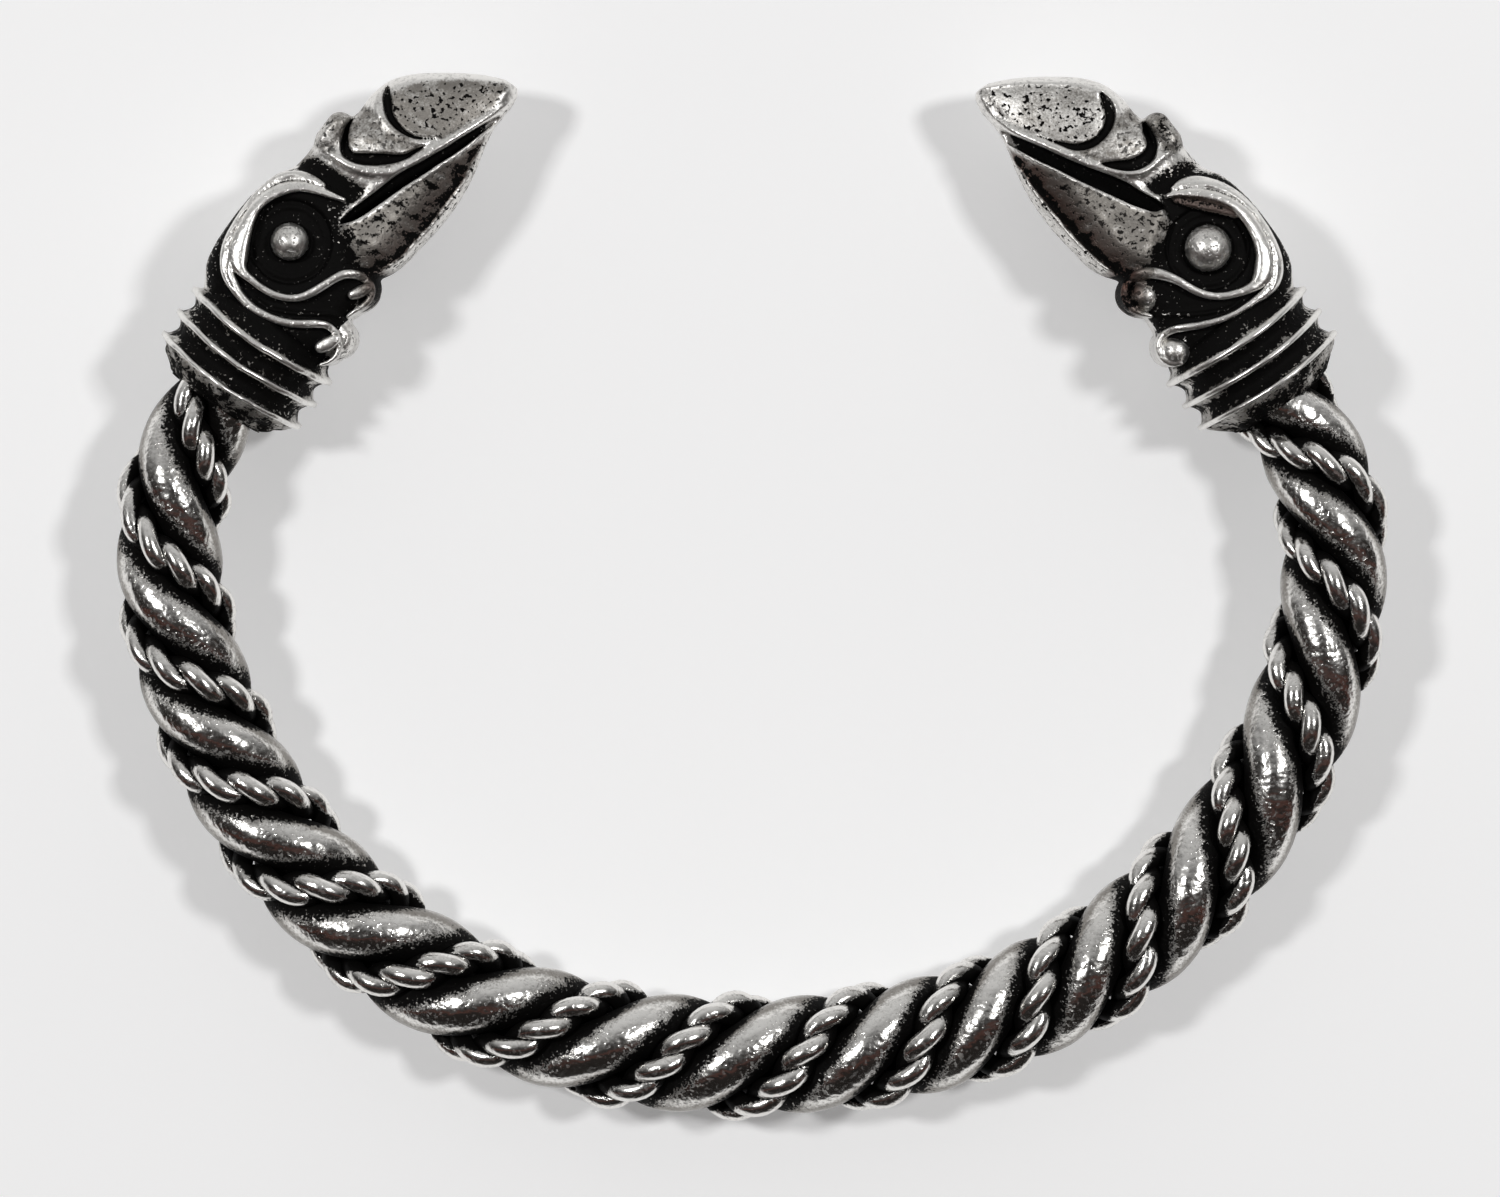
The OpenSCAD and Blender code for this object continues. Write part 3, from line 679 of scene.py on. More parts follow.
class Face:
    """The flat fields of one head, over a net of points of its face."""

    def __init__(self, x, y, lines):
        self.x, self.y = x, y
        table = np.array(HEAD_SECTIONS)
        columns = [hermite(table[:, 0], table[:, i], x) for i in range(1, 6)]
        crown, chin, self.thick, sink, self.square = columns
        self.crown = crown - lines["droop"] * smooth(x, 15, 23)
        self.chin = chin - lines["droop"] * smooth(x, 10.8, 13.2)
        middle = (self.crown + self.chin) / 2
        self.half = (self.crown - self.chin) / 2
        self.off = np.abs(y - middle) / self.half
        self.top = self.thick * np.clip(1 - self.off ** self.square, 0, 1) ** (1 / self.square)
        self.line = {name: Line(lines[name]) for name in RIDGES_AND_GROOVES}
        self.near = {name: line.near(x, y) for name, line in self.line.items()}
        self.near["fold"] = Line(FOLD).near(x, y)
        self.knob_off = Line(KNOB_BAR, seen=False).near(x, y)[0]
        self.ledges = [Line(rows).near(x, y) for rows in lines["ledges"]]
        self.tongues = [Line(rows).near(x, y) for rows in lines["tongues"]]
        eye_x, eye_y, self.eye_radius = lines["eye"]
        self.eye_out = np.hypot(x - eye_x, y - unlifted(eye_x, eye_y))
        gape = self.line["gape"]
        self.over = y - np.interp(x, gape.x, gape.y)
        self.over_edge = self.over * 0.9 - np.interp(x, gape.x, gape.half)
        self.under_edge = -self.over * 0.9 - np.interp(x, gape.x, gape.half)
        self.dish = lines["dish"]
        self.lean = lines["lean"]
        self.leaf_start = x - 0.8 * (y - gape.y[0] + 1.2)
        self.sink = sink * (1 - smooth(-self.over, -0.1, 0.3) * smooth(self.leaf_start, 10.9, 13.4))

    def bill_side(self):
        """The flat pitted side of the beak, in front of its groove."""
        line = self.line["bill_groove"]
        groove_x = np.interp(self.y, line.y[::-1], line.x[::-1])
        inside = smooth(self.over_edge, 0.30, 0.70) * smooth(self.crown - self.y, 0.75, 1.3)
        return inside * smooth(self.x - groove_x, 0.0, 0.4)

    def over_crease(self):
        """Height above the crease of the throat."""
        throat = self.line["throat"]
        return self.y - np.interp(self.x, throat.x, throat.y)

    def throat_side(self):
        """The narrow pitted bevel under the lower beak."""
        return smooth(-self.over_crease(), -0.05, 0.1) * smooth(self.x, 11.6, 12.4)

    def leaf(self):
        """The unpolished grey side of the lower beak, between the gape and the throat."""
        leaf = smooth(self.under_edge, 0.1, 0.4) * smooth(self.leaf_start, 11.0, 12.8)
        return leaf * (1 - self.throat_side())

    def forehead(self):
        """The pitted valley between the brow and the nostril."""
        along = smooth(self.x, 14.2, 14.7) * smooth(-self.x, -16.3, -14.8)
        return along * smooth(self.over_edge, 0.0, 0.6)

    def cheek(self):
        """The pitted corner between the eye and the gape."""
        return np.exp(-((self.x - 12.8) / 1.1) ** 2 - ((self.y + 0.4) / 0.9) ** 2)

    def lower_side(self):
        """The part of the lower beak's side that leans inwards, down to the throat."""
        along = smooth(self.leaf_start, 11.5, 13.5) * smooth(-self.x, -24.5, -21.5)
        down = smooth(2.3 - self.over_crease(), 0, 2.3) * smooth(self.under_edge, 0.1, 0.5)
        return along * down * (1 - self.throat_side())

    def crease_shade(self):
        """Painted shade on the strip just above the throat crease, where the lower beak leans in."""
        return smooth(0.75 - self.over_crease(), 0, 0.5) * self.lower_side()

    def saddle(self):
        """The raised saddle between the nostril and the beak's groove."""
        along = smooth(self.x, 17.2, 17.8) * smooth(-self.x, -20.6, -20.0)
        return along * smooth(self.over_edge, 0.3, 0.8)

    def score_shade(self):
        """The tarnished cut between the brow and the crest."""
        off, half = self.near["score"]
        return np.exp(-(off / 0.09) ** 2) * (half > 0.03)

    def detail(self):
        """Gentle rises and falls of the face."""
        lower_lip = np.exp(-((self.under_edge - 0.12) / 0.13) ** 2) * smooth(self.x, 13.2, 14.2)
        hump = np.exp(-((self.x - 18.9) / 0.9) ** 2) * smooth(self.over_edge, 0.4, 1.2)
        high = 0.10 * lower_lip + 0.16 * hump
        return high - self.dish * self.bill_side() - self.lean * self.lower_side() - 0.30 * self.forehead()


def bar(line, z, top):
    """A bar with a broad rounded top that stands along a line, up to a height."""
    apart, half = line
    return (apart ** 3 + np.maximum(np.abs(z) - (top - half), 0) ** 3) ** (1 / 3) - half


def groove(line, z, floor):
    """A round-bottomed cut along a line, down to a height."""
    apart, half = line
    return np.hypot(apart, np.maximum(floor + half - np.abs(z), 0)) - half


def deep(values):
    """Values of the face made ready to meet a third direction."""
    return values[..., None]


def head_field(x, y, z, lines):
    """How far each point lies outside the head, negative inside, and the face it was made from."""
    face = Face(x[:, None] + 0 * y, y + 0 * x[:, None], lines)
    near = {name: (deep(off), deep(half)) for name, (off, half) in face.near.items()}
    body = joined(plain_head(face, z), knob_field(face, z), 0.3)
    for lobe_x, lobe_y, radius in lines["lobes"]:
        out = deep(np.hypot(face.x - lobe_x, face.y - lobe_y)) / radius
        lobe = ((out ** 4 + (np.abs(z) / LOBE_TOP) ** 4) ** (1 / 4) - 1) * radius
        body = joined(body, lobe, 0.25)
    body = with_eye(body, face, z)
    top = deep(face.top)
    body = joined(body, bar(near["fold"], z, top - FOLD_DEPTH), 0.15)
    body = joined(body, bar(near["lip"], z, top + LIP_HEIGHT), 0.25)
    body = joined(body, bar(near["bill_edge"], z, top + BILL_EDGE_HEIGHT), 0.25)
    body = without(body, groove(near["nostril"], z, top - NOSTRIL_DEPTH), 0.12)
    body = without(body, groove(near["bill_groove"], z, top - BILL_GROOVE_DEPTH), 0.12)
    body = without(body, groove(near["throat"], z, top - THROAT_DEPTH), 0.10)
    ridge_top = np.maximum(top, RIDGE_TOP) + RIDGE_HEIGHT
    body = joined(body, bar(near["crest"], z, ridge_top), 0.08)
    body = joined(body, bar(near["brow"], z, ridge_top), 0.08)
    for off, half in face.ledges:
        body = joined(body, bar((deep(off), deep(half)), z, ridge_top - LEDGE_DEPTH), 0.10)
    body = without(body, groove(near["score"], z, ridge_top - SCORE_DEPTH), 0.05)
    body = with_curls(body, face, z, lines["balls"])
    gape, gape_half = near["gape"]
    return without(body, np.maximum(gape - gape_half, GAPE_WEB - np.abs(z)), 0.12), face


def plain_head(face, z):
    """The rounded block of the head, from the neck to the tip."""
    rise = np.abs(z) / deep(face.thick - face.sink + face.detail())
    square = deep(face.square)
    body = (deep(face.off) ** square + rise ** square) ** (1 / square) - 1
    body = np.maximum(body * deep(np.minimum(face.half, face.thick)), deep(face.x) - TIP_AT)
    return np.maximum(body, NECK_AT - deep(face.x))


def knob_field(face, z):
    """The knob across the root of the beak."""
    off = deep(face.knob_off) / KNOB_RADIUS
    return ((off ** 3 + (np.abs(z) / KNOB_TOP) ** 3) ** (1 / 3) - 1) * KNOB_RADIUS


def with_eye(body, face, z):
    """The body with an eye in a round flat socket, inside a fine ring."""
    high = np.abs(z)
    out = deep(face.eye_out)
    body = without(body, np.maximum(out - EYE_SOCKET_RADIUS, EYE_SOCKET_FLOOR - high), 0.3)
    ring = np.hypot(out - EYE_RING_RADIUS, high - EYE_SOCKET_FLOOR) - EYE_RING_HALF
    eyeball = np.hypot(out, high - EYE_TOP + face.eye_radius) - face.eye_radius
    return joined(joined(body, ring, 0.1), eyeball, 0.1)


def with_curls(body, face, z, balls):
    """The body with the ends of its scrolls: a ball or a tongue in each curl."""
    for ball_x, ball_y, radius in balls:
        out = deep(np.hypot(face.x - ball_x, face.y - unlifted(ball_x, ball_y)))
        body = joined(body, np.hypot(out, np.abs(z) - CURL_TOP + radius) - radius, 0.10)
    for off, half in face.tongues:
        body = joined(body, bar((deep(off), deep(half)), z, CURL_TOP), 0.10)
    return body


def surface_net(field):
    """Points and quads of the skin where a field changes sign, in steps of its grid."""
    inside = field < 0
    cells = np.array(field.shape) - 1
    size = int(np.prod(cells))
    count = np.zeros(size)
    total = np.zeros((size, 3))
    crossed = []
    for axis in range(3):
        low = [slice(None)] * 3
        high = [slice(None)] * 3
        low[axis], high[axis] = slice(0, -1), slice(1, None)
        low, high = tuple(low), tuple(high)
        where = np.argwhere(inside[low] != inside[high])
        a, b = field[low][tuple(where.T)], field[high][tuple(where.T)]
        point = where.astype(float)
        point[:, axis] += a / (a - b)
        u, v = (axis + 1) % 3, (axis + 2) % 3
        corners = []
        for step_u, step_v in ((-1, -1), (0, -1), (0, 0), (-1, 0)):
            cell = where.copy()
            cell[:, u] += step_u
            cell[:, v] += step_v
            cell = np.clip(cell, 0, cells - 1)
            index = np.ravel_multi_index(tuple(cell.T), tuple(cells))
            corners.append(index)
            count += np.bincount(index, minlength=size)
            for i in range(3):
                total[:, i] += np.bincount(index, point[:, i], minlength=size)
        quads = np.stack(corners, -1)
        crossed.append(np.where((a < 0)[:, None], quads, quads[:, ::-1]))
    used = np.flatnonzero(count)
    number = np.zeros(size, int)
    number[used] = np.arange(len(used))
    return total[used] / count[used, None], number[np.concatenate(crossed)]


def without_specks(field):
    """The field with each lone empty point inside the body filled."""
    inside = field < 0
    middle = (slice(1, -1),) * 3
    walled = np.ones(inside[middle].shape, bool)
    for axis in range(3):
        for step in (-1, 1):
            walled &= np.roll(inside, step, axis)[middle]
    filled = field.copy()
    filled[middle][walled & ~inside[middle]] = -GRID[0]
    return filled


def relaxed(points, quads, rounds):
    """Points evened out a little without shrinking the skin."""
    a = quads.reshape(-1)
    b = np.roll(quads, -1, axis=1).reshape(-1)
    count = np.bincount(a, minlength=len(points)) + np.bincount(b, minlength=len(points))
    for _ in range(rounds):
        for strength in (0.5, -0.52):
            around = np.stack([np.bincount(a, points[b, i], minlength=len(points))
                               + np.bincount(b, points[a, i], minlength=len(points)) for i in range(3)], -1)
            points = points + strength * (around / count[:, None] - points)
    return points


def box_mean(values, reach):
    """Mean over a cube that reaches so many steps each way."""
    for axis in range(3):
        moved = np.moveaxis(values, axis, 0)
        padded = np.concatenate([np.repeat(moved[:1], reach + 1, 0), moved, np.repeat(moved[-1:], reach, 0)])
        sums = np.cumsum(padded, axis=0, dtype=np.float64)
        width = 2 * reach + 1
        values = np.moveaxis((sums[width:] - sums[:-width]) / width, 0, axis)
    return values


def sampled(values, points):
    """Values of a grid at points given in its steps."""
    base = np.clip(np.floor(points).astype(int), 0, np.array(values.shape) - 2)
    share = points - base
    total = 0
    for corner in np.ndindex(*(2,) * values.ndim):
        weight = np.prod(np.where(np.array(corner) == 1, share, 1 - share), axis=1)
        total = total + weight * values[tuple((base + np.array(corner)).T)]
    return total


class PatinaAndShade:
    """The areas of one head at the points of its skin, and the masks made from them, painted shade and a
    painted warm reflection among them.
    """

    def __init__(self, face, lines, steps, placed):
        def here(values):
            return sampled(values, steps[:, :2])
        self.x, self.y, self.z = placed.T
        self.lines = lines
        self.top = here(face.top)
        self.low = here(face.lower_side())
        self.leaf = here(face.leaf())
        self.throat = here(face.throat_side())
        self.forehead = here(face.forehead())
        self.rough = here(np.maximum(face.bill_side(), face.forehead()))
        self.knob = here(smooth(-face.knob_off, -1.2, -0.7))
        self.saddle = here(face.saddle())
        self.cheek = here(face.cheek())
        self.eyeball = here(smooth(face.eye_radius * 0.97 - face.eye_out, 0, 0.2))
        self.score = here(face.score_shade())
        self.shade = here(face.crease_shade())
        ledges = [here(smooth(half - off, -0.05, 0.1)) for off, half in face.ledges]
        self.ledge = 0 * self.top + sum(ledges)
        self.ball = 0 * self.top + sum(self.balls())
        self.lobe = np.max(self.lobes(), axis=0)
        self.mottle = ripple(self.x, self.y, 60, waves=14, shortest=0.45, longest=1.9)

    def balls(self):
        """Which points belong to each ball of the scrolls."""
        return [np.hypot(self.x - x, self.y - unlifted(x, y)) < radius
                for x, y, radius in self.lines["balls"]]

    def lobes(self):
        """How much each point belongs to the lower side of each lobe."""
        lobes = []
        for x, y, radius in self.lines["lobes"]:
            on_lobe = smooth(radius * 1.08 - np.hypot(self.x - x, self.y - y), 0, 0.15)
            lobes.append(on_lobe * smooth(y - self.y, 0.25, 0.7))
        return lobes

    def tarnish_and_shade(self, crowd):
        """Tarnish in the hollows, and painted shade above the throat crease: crowd is how much metal there
        is close by.
        """
        lean, tarnish = self.lines["lean"], self.lines["tarnish"]
        reach = smooth(self.top, 1.6, 2.8)
        depth = self.top - np.abs(self.z) - 0.75 * lean * self.low
        tarnish_and_shade = np.clip(depth / 0.75, 0, 1.2) * reach * (1 - 0.45 * self.cheek) * (1 - 0.8 * self.lobe)
        tarnish_and_shade = tarnish_and_shade + 1.7 * (crowd - 0.5) + 0.17 * self.leaf - 0.15 * self.throat
        tarnish_and_shade = tarnish_and_shade - 0.65 * self.eyeball + 0.30 * self.score - 0.35 * self.ball
        tarnish_and_shade = tarnish_and_shade + tarnish * (np.maximum(self.rough, self.leaf) + 1.2 * self.forehead)
        tarnish_and_shade = tarnish_and_shade + self.lines["knob_tarnish"] * self.knob + 0.12 * self.saddle
        clouded = np.max([self.leaf, 0.35 * self.eyeball, 0.7 * self.saddle], axis=0)
        # Painted shade above the throat crease, the deeper the more the lower side leans in
        tarnish_and_shade = tarnish_and_shade + 0.30 * self.mottle * clouded + 0.8 * lean * self.shade
        wall = (1 - reach) * smooth(-self.x, -17, -15)
        clouds = ripple(self.x, self.z, 61, waves=12, shortest=0.8, longest=4)
        return np.clip(tarnish_and_shade + wall * (0.20 + 0.30 * clouds), 0, 1)

    def pitted(self):
        """Casting pits, mostly on the flat sides of the beak."""
        pitted = [self.rough, self.throat, 0.8 * self.knob, self.leaf * (0.9 - 0.5 * self.low)]
        pitted += [self.cheek, 0.4 * self.eyeball, 0.6 * self.saddle, 0.5 * self.lobe]
        return 0.2 + 0.8 * np.max(pitted, axis=0)

    def dull(self):
        """Grey metal that was never polished, and painted shade on the brow's ledge."""
        bill = self.lines["bill_dull"] * self.rough
        dull = np.max([self.leaf, bill, 0.4 * self.knob, 0.5 * self.saddle, self.ledge], axis=0)
        return dull * (1 + 0.35 * self.mottle)

    def brown(self):
        """A painted warm reflection low on the beak, and painted shade on the brow's ledge."""
        low = np.clip(self.low * (1.1 * self.lines["lean"] + 0.3 * self.mottle), 0, 1)
        return np.maximum(low, 0.6 * self.ledge)


def head_skin(lines):
    """Skin of one head in its own frame, with its masks."""
    x, y, z = (np.arange(low, high, step) for low, high, step in zip(GRID_LOW, GRID_HIGH, GRID))
    field, face = head_field(x, y, z, lines)
    steps, quads = surface_net(without_specks(field))
    steps = relaxed(steps, quads, 3)
    crowd = sampled(box_mean(box_mean((field < 0).astype(float), 3), 3), steps)
    placed = steps * GRID + [x[0], y[0], z[0]]
    skin_marks = PatinaAndShade(face, lines, steps, placed)
    masks = {"tarnish_and_shade": skin_marks.tarnish_and_shade(crowd), "pitted": skin_marks.pitted()}
    masks.update(dull=skin_marks.dull(), brown=skin_marks.brown())
    return placed, quads, masks


# Collars

COLLAR_COLUMNS = 150
SKIRT_LUMPS = 0.18
RIM_LUMPS = 0.06
RIB_BOW = 0.48
RIB_WAVER = 0.08
CREST_HALF = 0.17
CREST_ROUNDING = 0.06
CREST_SIDE = 0.12
NECK_RADIUS = 4.4
END_FACE_RADIUS = 1.0


def collar_profile():
    """Edge of the collar from inside the socket round to the neck, as along and radius."""
    socket = (ROD_SEAT + ROD_DIAMETER / 2) * fullness(SOCKET_DEPTH / HOOP.length) + SOCKET_GAP
    mouth = socket + SOCKET_WALL / 3
    edge = [(RIB_AT, END_FACE_RADIUS), (RIB_AT, socket), (0.1 - SKIRT_LENGTH, socket)]
    for angle in (0, 30, 60, 90):
        along = 0.12 * (1 - cosd(angle)) - 0.1 - SKIRT_LENGTH
        edge.append((along, socket + 0.1 + (mouth - socket - 0.1) * angle / 90))
    for t in np.linspace(0.06, 1, 14):
        rise = (COLLAR_RADIUS - 0.3 - mouth) * smooth(t, -0.25, 1.15)
        edge.append((-SKIRT_LENGTH + (SKIRT_LENGTH - 0.2) * t, mouth + rise))
    side = COLLAR_RADIUS - CREST_ROUNDING
    for rib in range(3):
        crest = rib * RIB_SPACING
        edge += [(crest - CREST_HALF, side), (crest, COLLAR_RADIUS), (crest + CREST_HALF, side)]
        if rib < 2:
            for t in np.linspace(-0.8, 0.8, 14):
                edge.append((crest + RIB_SPACING * (t + 1) / 2, between_ribs(t)))
    last = 2 * RIB_SPACING
    for along, depth in ((0.3, 0.45), (0.55, 0.72), (0.9, 0.85)):
        edge.append((last + along, COLLAR_RADIUS - depth))
    return np.array(edge + [(last + 1.3, NECK_RADIUS), (last + 1.3, END_FACE_RADIUS)])


def between_ribs(share):
    """Radius of the round valley between two ribs, from -1 at one crest to 1 at the next."""
    fall = (1 - abs(share) ** 1.5) ** 0.8
    return COLLAR_RADIUS - CREST_SIDE - (RIB_DEPTH - CREST_SIDE) * fall


def collar_part(seed):
    """The ribbed collar, a little bent and nicked, with a lumpy skirt behind its last rib."""
    edge = collar_profile()
    around = np.arange(COLLAR_COLUMNS) * 360 / COLLAR_COLUMNS
    along, radius = edge[:, :1], edge[:, 1:]
    arc = np.radians(around) * COLLAR_RADIUS
    outer = radius > 3.4
    lumps = smooth(-along, -0.1, 0.9) * outer
    radius = radius + lumps * SKIRT_LUMPS * ripple(along * 2, arc, seed, shortest=1.2, longest=4)
    radius = radius + outer * RIM_LUMPS * ripple(along * 0.5, arc, seed + 1, shortest=1.2, longest=7)
    ribs = smooth(along, -0.6, 0) * smooth(-along, -4.6, -3.9)
    waver = RIB_WAVER * ripple(0 * along, arc, seed + 2, longest=14)
    bow = ribs * outer * (RIB_BOW * sind(around) ** 2 - waver)
    net = np.stack([along - bow + 0 * around, radius * cosd(around), radius * sind(around)], -1)
    depth = COLLAR_RADIUS - radius
    # The valleys are lighter towards the crown and the chin, where they face sideways: painted light
    # reflected from the pale floor and the lamps
    ribbed = np.clip(depth / 0.7, 0, 1.15) * (0.55 + 0.45 * smooth(np.abs(sind(around)), 0.3, 0.75))
    skirt = 0.34 + 0.30 * smooth(-along, 0.5, 1.5)
    mottle = 0.26 * ripple(along * 1.5, arc, seed + 3, waves=9, shortest=0.7, longest=3)
    tarnish_and_shade = np.where(along > -0.3, ribbed, skirt) + mottle * (depth > 0.07)
    tarnish_and_shade = np.clip(np.where(outer, tarnish_and_shade, 1), 0, 1)
    crest = smooth(-depth, -0.3, -0.08)
    pitted = (0.35 + 0.65 * lumps) * (1 - 0.85 * crest)
    masks = {"tarnish_and_shade": tarnish_and_shade, "pitted": pitted, "dull": 0.3 * (1 - crest), "brown": 0 * depth}
    return tube_part(net, masks)


def head_part(lines, side, seed):
    """One head with its collar. The right one is the mirror image of the left one's frame."""
    points, quads, masks = head_skin(lines)
    skin = (points, quads.tolist(), masks)
    points, faces, masks = merged([skin, collar_part(seed)])
    rib = LEFT_RIB if side == "left" else RIGHT_RIB
    turn = HOOP.starts[0][2] - 180 if side == "left" else 180 - rib[2]
    x = points[:, 0] * cosd(turn) - points[:, 1] * sind(turn)
    y = points[:, 0] * sind(turn) + points[:, 1] * cosd(turn)
    if side == "right":
        x = -x
        faces = [face[::-1] for face in faces]
    return rested(np.stack([rib[0] + x, rib[1] + y, points[:, 2]], -1)), faces, masks


# Materials

class Shade:
    """A shader output in a Python expression: arithmetic on it adds Math nodes."""

    def __init__(self, tree, socket=None):
        self.tree = tree
        self.socket = socket

    def feed(self, target, value):
        if isinstance(value, Shade):
            self.tree.links.new(value.socket, target)
        else:
            target.default_value = value

    def node(self, kind, settings=None, inputs=None, output=0):
        """Any node: its settings first, then the values or links of its sockets."""
        made = self.tree.nodes.new(kind)
        for name, value in (settings or {}).items():
            setattr(made, name, value)
        for name, value in (inputs or {}).items():
            self.feed(made.inputs[name], value)
        return Shade(self.tree, made.outputs[output])

    def math(self, operation, *values):
        return self.node("ShaderNodeMath", {"operation": operation}, dict(enumerate(values)))

    def __add__(self, other):
        return self.math("ADD", self, other)

    __radd__ = __add__

    def __sub__(self, other):
        return self.math("SUBTRACT", self, other)

    def __rsub__(self, other):
        return self.math("SUBTRACT", other, self)

    def __mul__(self, other):
        return self.math("MULTIPLY", self, other)

    __rmul__ = __mul__

    def step(self, low, high):
        """0 below low, 1 above high, soft between."""
        settings = {"interpolation_type": "SMOOTHSTEP"}
        return self.node("ShaderNodeMapRange", settings, {"Value": self, "From Min": low, "From Max": high})

    def top(self, other):
        return self.math("MAXIMUM", self, other)

    def noise(self, size, detail=2.0):
        """Cloudy noise of a vector in millimetres, with clouds about so many millimetres wide."""
        return self.node("ShaderNodeTexNoise", None, {"Vector": self, "Scale": 1 / size, "Detail": detail})

    def between(self, low, high):
        """A colour between two colours."""
        return self.node("ShaderNodeMix", {"data_type": "RGBA"}, {0: self, 6: low, 7: high}, output=2)


def new_material(name):
    material = bpy.data.materials.new(name)
    material.use_nodes = True
    tree = material.node_tree
    shader = tree.nodes["Principled BSDF"]
    return material, Shade(tree), shader


def millimetres(shade):
    """Places on the object, in millimetres."""
    place = shade.node("ShaderNodeTexCoord", output=3)
    return shade.node("ShaderNodeVectorMath", {"operation": "SCALE"}, {0: place, "Scale": 1 / MM})


def painted(shade, name):
    return shade.node("ShaderNodeAttribute", {"attribute_name": name}, output=2)


# Black for tarnish and for painted shade
BLACK_TARNISH_AND_SHADE = (0.0035, 0.0032, 0.003, 1)
# A painted warm reflection and painted shade
PAINTED_WARM_BROWN = (0.115, 0.062, 0.050, 1)
# Grey for unpolished metal and for painted shade
MATT_AND_SHADED_PEWTER = (0.25, 0.235, 0.215, 1)
BRIGHT_PEWTER = (0.86, 0.845, 0.815, 1)
GREY_PAPER = (0.80, 0.80, 0.805, 1)
WHITE_PAPER = (0.84, 0.84, 0.84, 1)
PAPER_GLOW = 0.25

# Sizes of the marks in the metal
GRAIN = 0.16
SPECK = 0.24
PIT = 0.3
LUMP = 0.6
PATCH = 0.9
CLOUD = 1.6
BUMP_HEIGHT = 0.08


def antiqued_pewter(name, polish, dents, grit):
    """Bright pewter with wear, black in its hollows and in its casting pits, with bright specks on the
    black, and with the painted shade and painted warm reflection that its masks carry.

    Polish is the roughness of the bright metal, dents how uneven it is, and grit how bright the specks are.
    """
    material, shade, shader = new_material(name)
    place = millimetres(shade)
    tarnish_and_shade, pitted, dull, brown = (painted(shade, name) for name in ("tarnish_and_shade", "pitted", "dull", "brown"))
    grain = place.noise(GRAIN, 3.0)
    patches = place.noise(PATCH)
    lumps = place.noise(LUMP, 1.0)
    pits = place.noise(PIT, 1.0)
    specks = (place.noise(SPECK, 2.0) + (patches - 0.5) * 0.5).step(0.60, 0.70) * grit
    # The black is tarnish in the hollows together with the painted shade that the same mask carries
    tarnish = (tarnish_and_shade + (grain - 0.5) * 0.8 + (patches - 0.5) * 0.5 - specks).step(0.38, 0.55)
    holes = (pits + (patches - 0.5) * 0.3).step(0.42, 0.34) * pitted
    dark = tarnish.top(holes)
    # The tone is darker for unpolished metal and for the painted shade in the masks
    wear_and_shade = place.noise(CLOUD) * 0.5 + grain * 0.7 - pitted * 0.15 - tarnish_and_shade * 0.3 - dull * 0.5
    tone = wear_and_shade.step(0.05, 0.60)
    # Painted warm reflection and painted shade where that mask says
    silver = brown.between(tone.between(MATT_AND_SHADED_PEWTER, BRIGHT_PEWTER), PAINTED_WARM_BROWN)
    shader.inputs["Specular IOR Level"].default_value = 0.06
    shade.feed(shader.inputs["Base Color"], dark.between(silver, BLACK_TARNISH_AND_SHADE))
    shade.feed(shader.inputs["Metallic"], 1 - dark * 0.97)
    shade.feed(shader.inputs["Roughness"], polish + pitted * 0.14 + grain * 0.08 + dark * 0.3 + dull * 0.08)
    height = (place.noise(CLOUD, 1.0) * 1.4 + lumps * 0.9) * dents + grain * (0.05 + pitted * 0.6)
    height = height - holes * 0.9 - tarnish * 0.3
    relief = {"Strength": 0.6, "Distance": BUMP_HEIGHT * MM, "Height": height}
    shade.feed(shader.inputs["Normal"], shade.node("ShaderNodeBump", None, relief))
    return material


def table_paper():
    """Matt white paper with the faintest unevenness."""
    material, shade, shader = new_material("white_paper")
    cloud = millimetres(shade).noise(60)
    shade.feed(shader.inputs["Base Color"], cloud.between(GREY_PAPER, WHITE_PAPER))
    shader.inputs["Roughness"].default_value = 0.9
    shader.inputs["Emission Color"].default_value = (1, 1, 1, 1)
    shader.inputs["Emission Strength"].default_value = PAPER_GLOW
    return material


# Stage

CAMERA_DISTANCE = 420
PHOTO_WIDTH = 1500
PHOTO_HEIGHT = 1197
PHOTO_SCALE = 14.85
PHOTO_MIDDLE = (752, 596)
SENSOR = 36
TABLE_METRES = 4
BOX_PLACE = (380, 120, 640)
BOX_SIZE = (80, 90)
BOX_WATTS = 1.95
DARK_ROOM = (0.015, 0.013, 0.012, 1)
WARM_PATCH = (0.066, 0.028, 0.022, 1)
PALE_ROOM = (0.6, 0.6, 0.6, 1)


def add_table():
    bpy.ops.mesh.primitive_plane_add(size=TABLE_METRES)
    table = bpy.context.object
    table.name = "table"
    table.data.materials.append(table_paper())


def add_camera():
    """Straight above, at the photograph's scale for the middle of the heads' height."""
    data = bpy.data.cameras.new("camera")
    camera = bpy.data.objects.new("camera", data)
    bpy.context.scene.collection.objects.link(camera)
    seen = PHOTO_WIDTH / PHOTO_SCALE
    data.sensor_width = SENSOR
    data.lens = SENSOR * CAMERA_DISTANCE / seen
    data.clip_start = 0.01
    aim_x = (PHOTO_WIDTH / 2 - PHOTO_MIDDLE[0]) / PHOTO_SCALE
    aim_y = (PHOTO_MIDDLE[1] - PHOTO_HEIGHT / 2) / PHOTO_SCALE
    camera.location = (aim_x * MM, aim_y * MM, (CAMERA_DISTANCE + COLLAR_RADIUS) * MM)
    bpy.context.scene.camera = camera


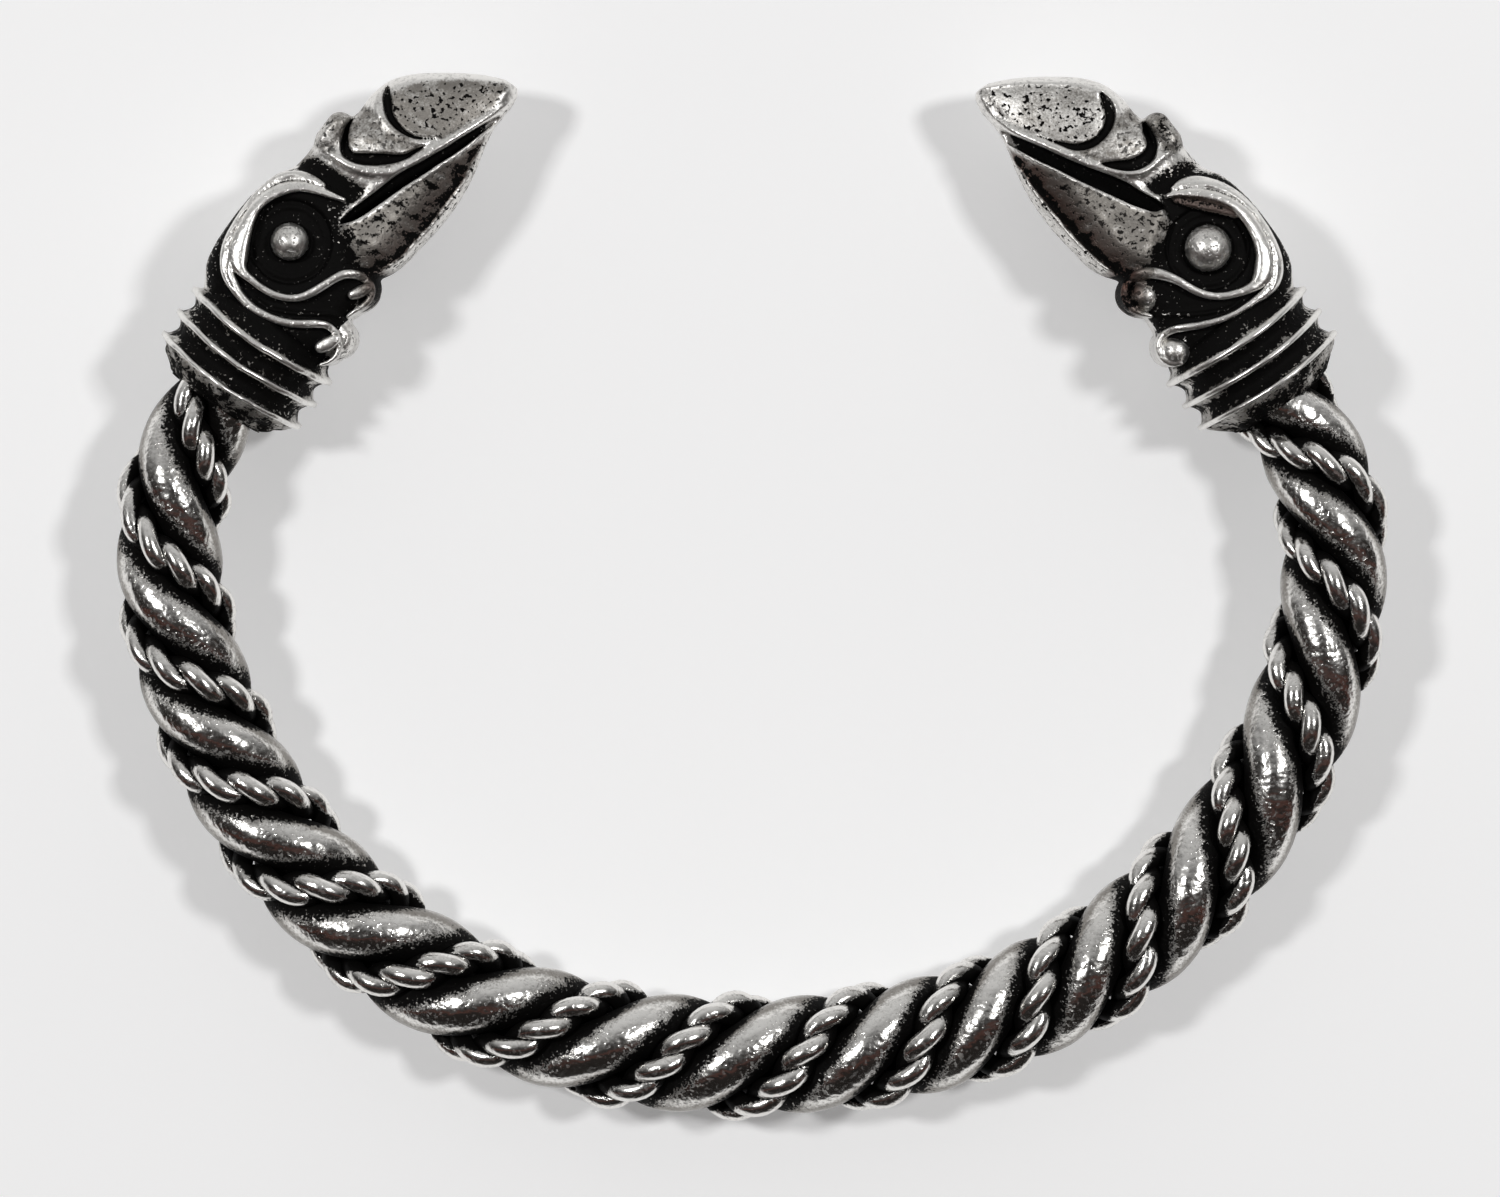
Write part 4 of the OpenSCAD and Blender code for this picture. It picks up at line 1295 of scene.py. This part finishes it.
def add_light(name, place):
    """A soft box aimed at the middle of the ring, at a place in millimetres."""
    data = bpy.data.lights.new(name, "AREA")
    data.shape = "RECTANGLE"
    data.size, data.size_y = BOX_SIZE[0] * MM, BOX_SIZE[1] * MM
    data.energy = BOX_WATTS
    light = bpy.data.objects.new(name, data)
    bpy.context.scene.collection.objects.link(light)
    light.location = Vector(place) * MM
    light.rotation_euler = (-light.location).to_track_quat("-Z", "Y").to_euler()


def add_lights():
    """Two soft boxes, high at the sides."""
    x, y, z = BOX_PLACE
    add_light("left_box", (-x, y, z))
    add_light("right_box", (x, y, z))


def add_room():
    """A dim room: pale behind the ring, dark overhead, and dark with a warm patch in front."""
    world = bpy.data.worlds.new("room")
    world.use_nodes = True
    tree = world.node_tree
    shade = Shade(tree)
    direction = shade.node("ShaderNodeTexCoord", output=0)
    behind = shade.node("ShaderNodeSeparateXYZ", None, {0: direction}, output=1)
    patch = behind.step(-0.54, -0.44) * (1 - behind.step(-0.38, -0.28))
    front = patch.between(DARK_ROOM, WARM_PATCH)
    colour = behind.step(-0.02, 1.0).between(front, PALE_ROOM)
    shade.feed(tree.nodes["Background"].inputs["Color"], colour)
    bpy.context.scene.world = world
    bpy.context.scene.view_settings.view_transform = "Standard"


def build():
    rod_metal = antiqued_pewter("polished_rod_pewter", polish=0.13, dents=1.4, grit=0.25)
    rope_metal = antiqued_pewter("polished_wire_pewter", polish=0.15, dents=0.8, grit=0.2)
    head_metal = antiqued_pewter("cast_head_pewter", polish=0.27, dents=0.9, grit=0.5)
    for number, phase in ((1, 0), (2, 180)):
        rod = rod_part(phase, 10 + number)
        new_piece(f"smooth_rod_{number}", rod, f"rod_{number}", rod_metal)
    for number, phase in ((1, 90), (2, 270)):
        wires = merged([wire_part(phase, wire_phase, 20 + number) for wire_phase in (0, 180)])
        new_piece(f"wire_rope_{number}", wires, f"rope_{number}", rope_metal)
    for side, lines, seed in (("left", LEFT_FACE, 30), ("right", RIGHT_FACE, 40)):
        head = head_part(lines, side, seed)
        new_piece(f"raven_head_{side}", head, f"head_{side}", head_metal)


build()
add_table()
add_camera()
add_lights()
add_room()
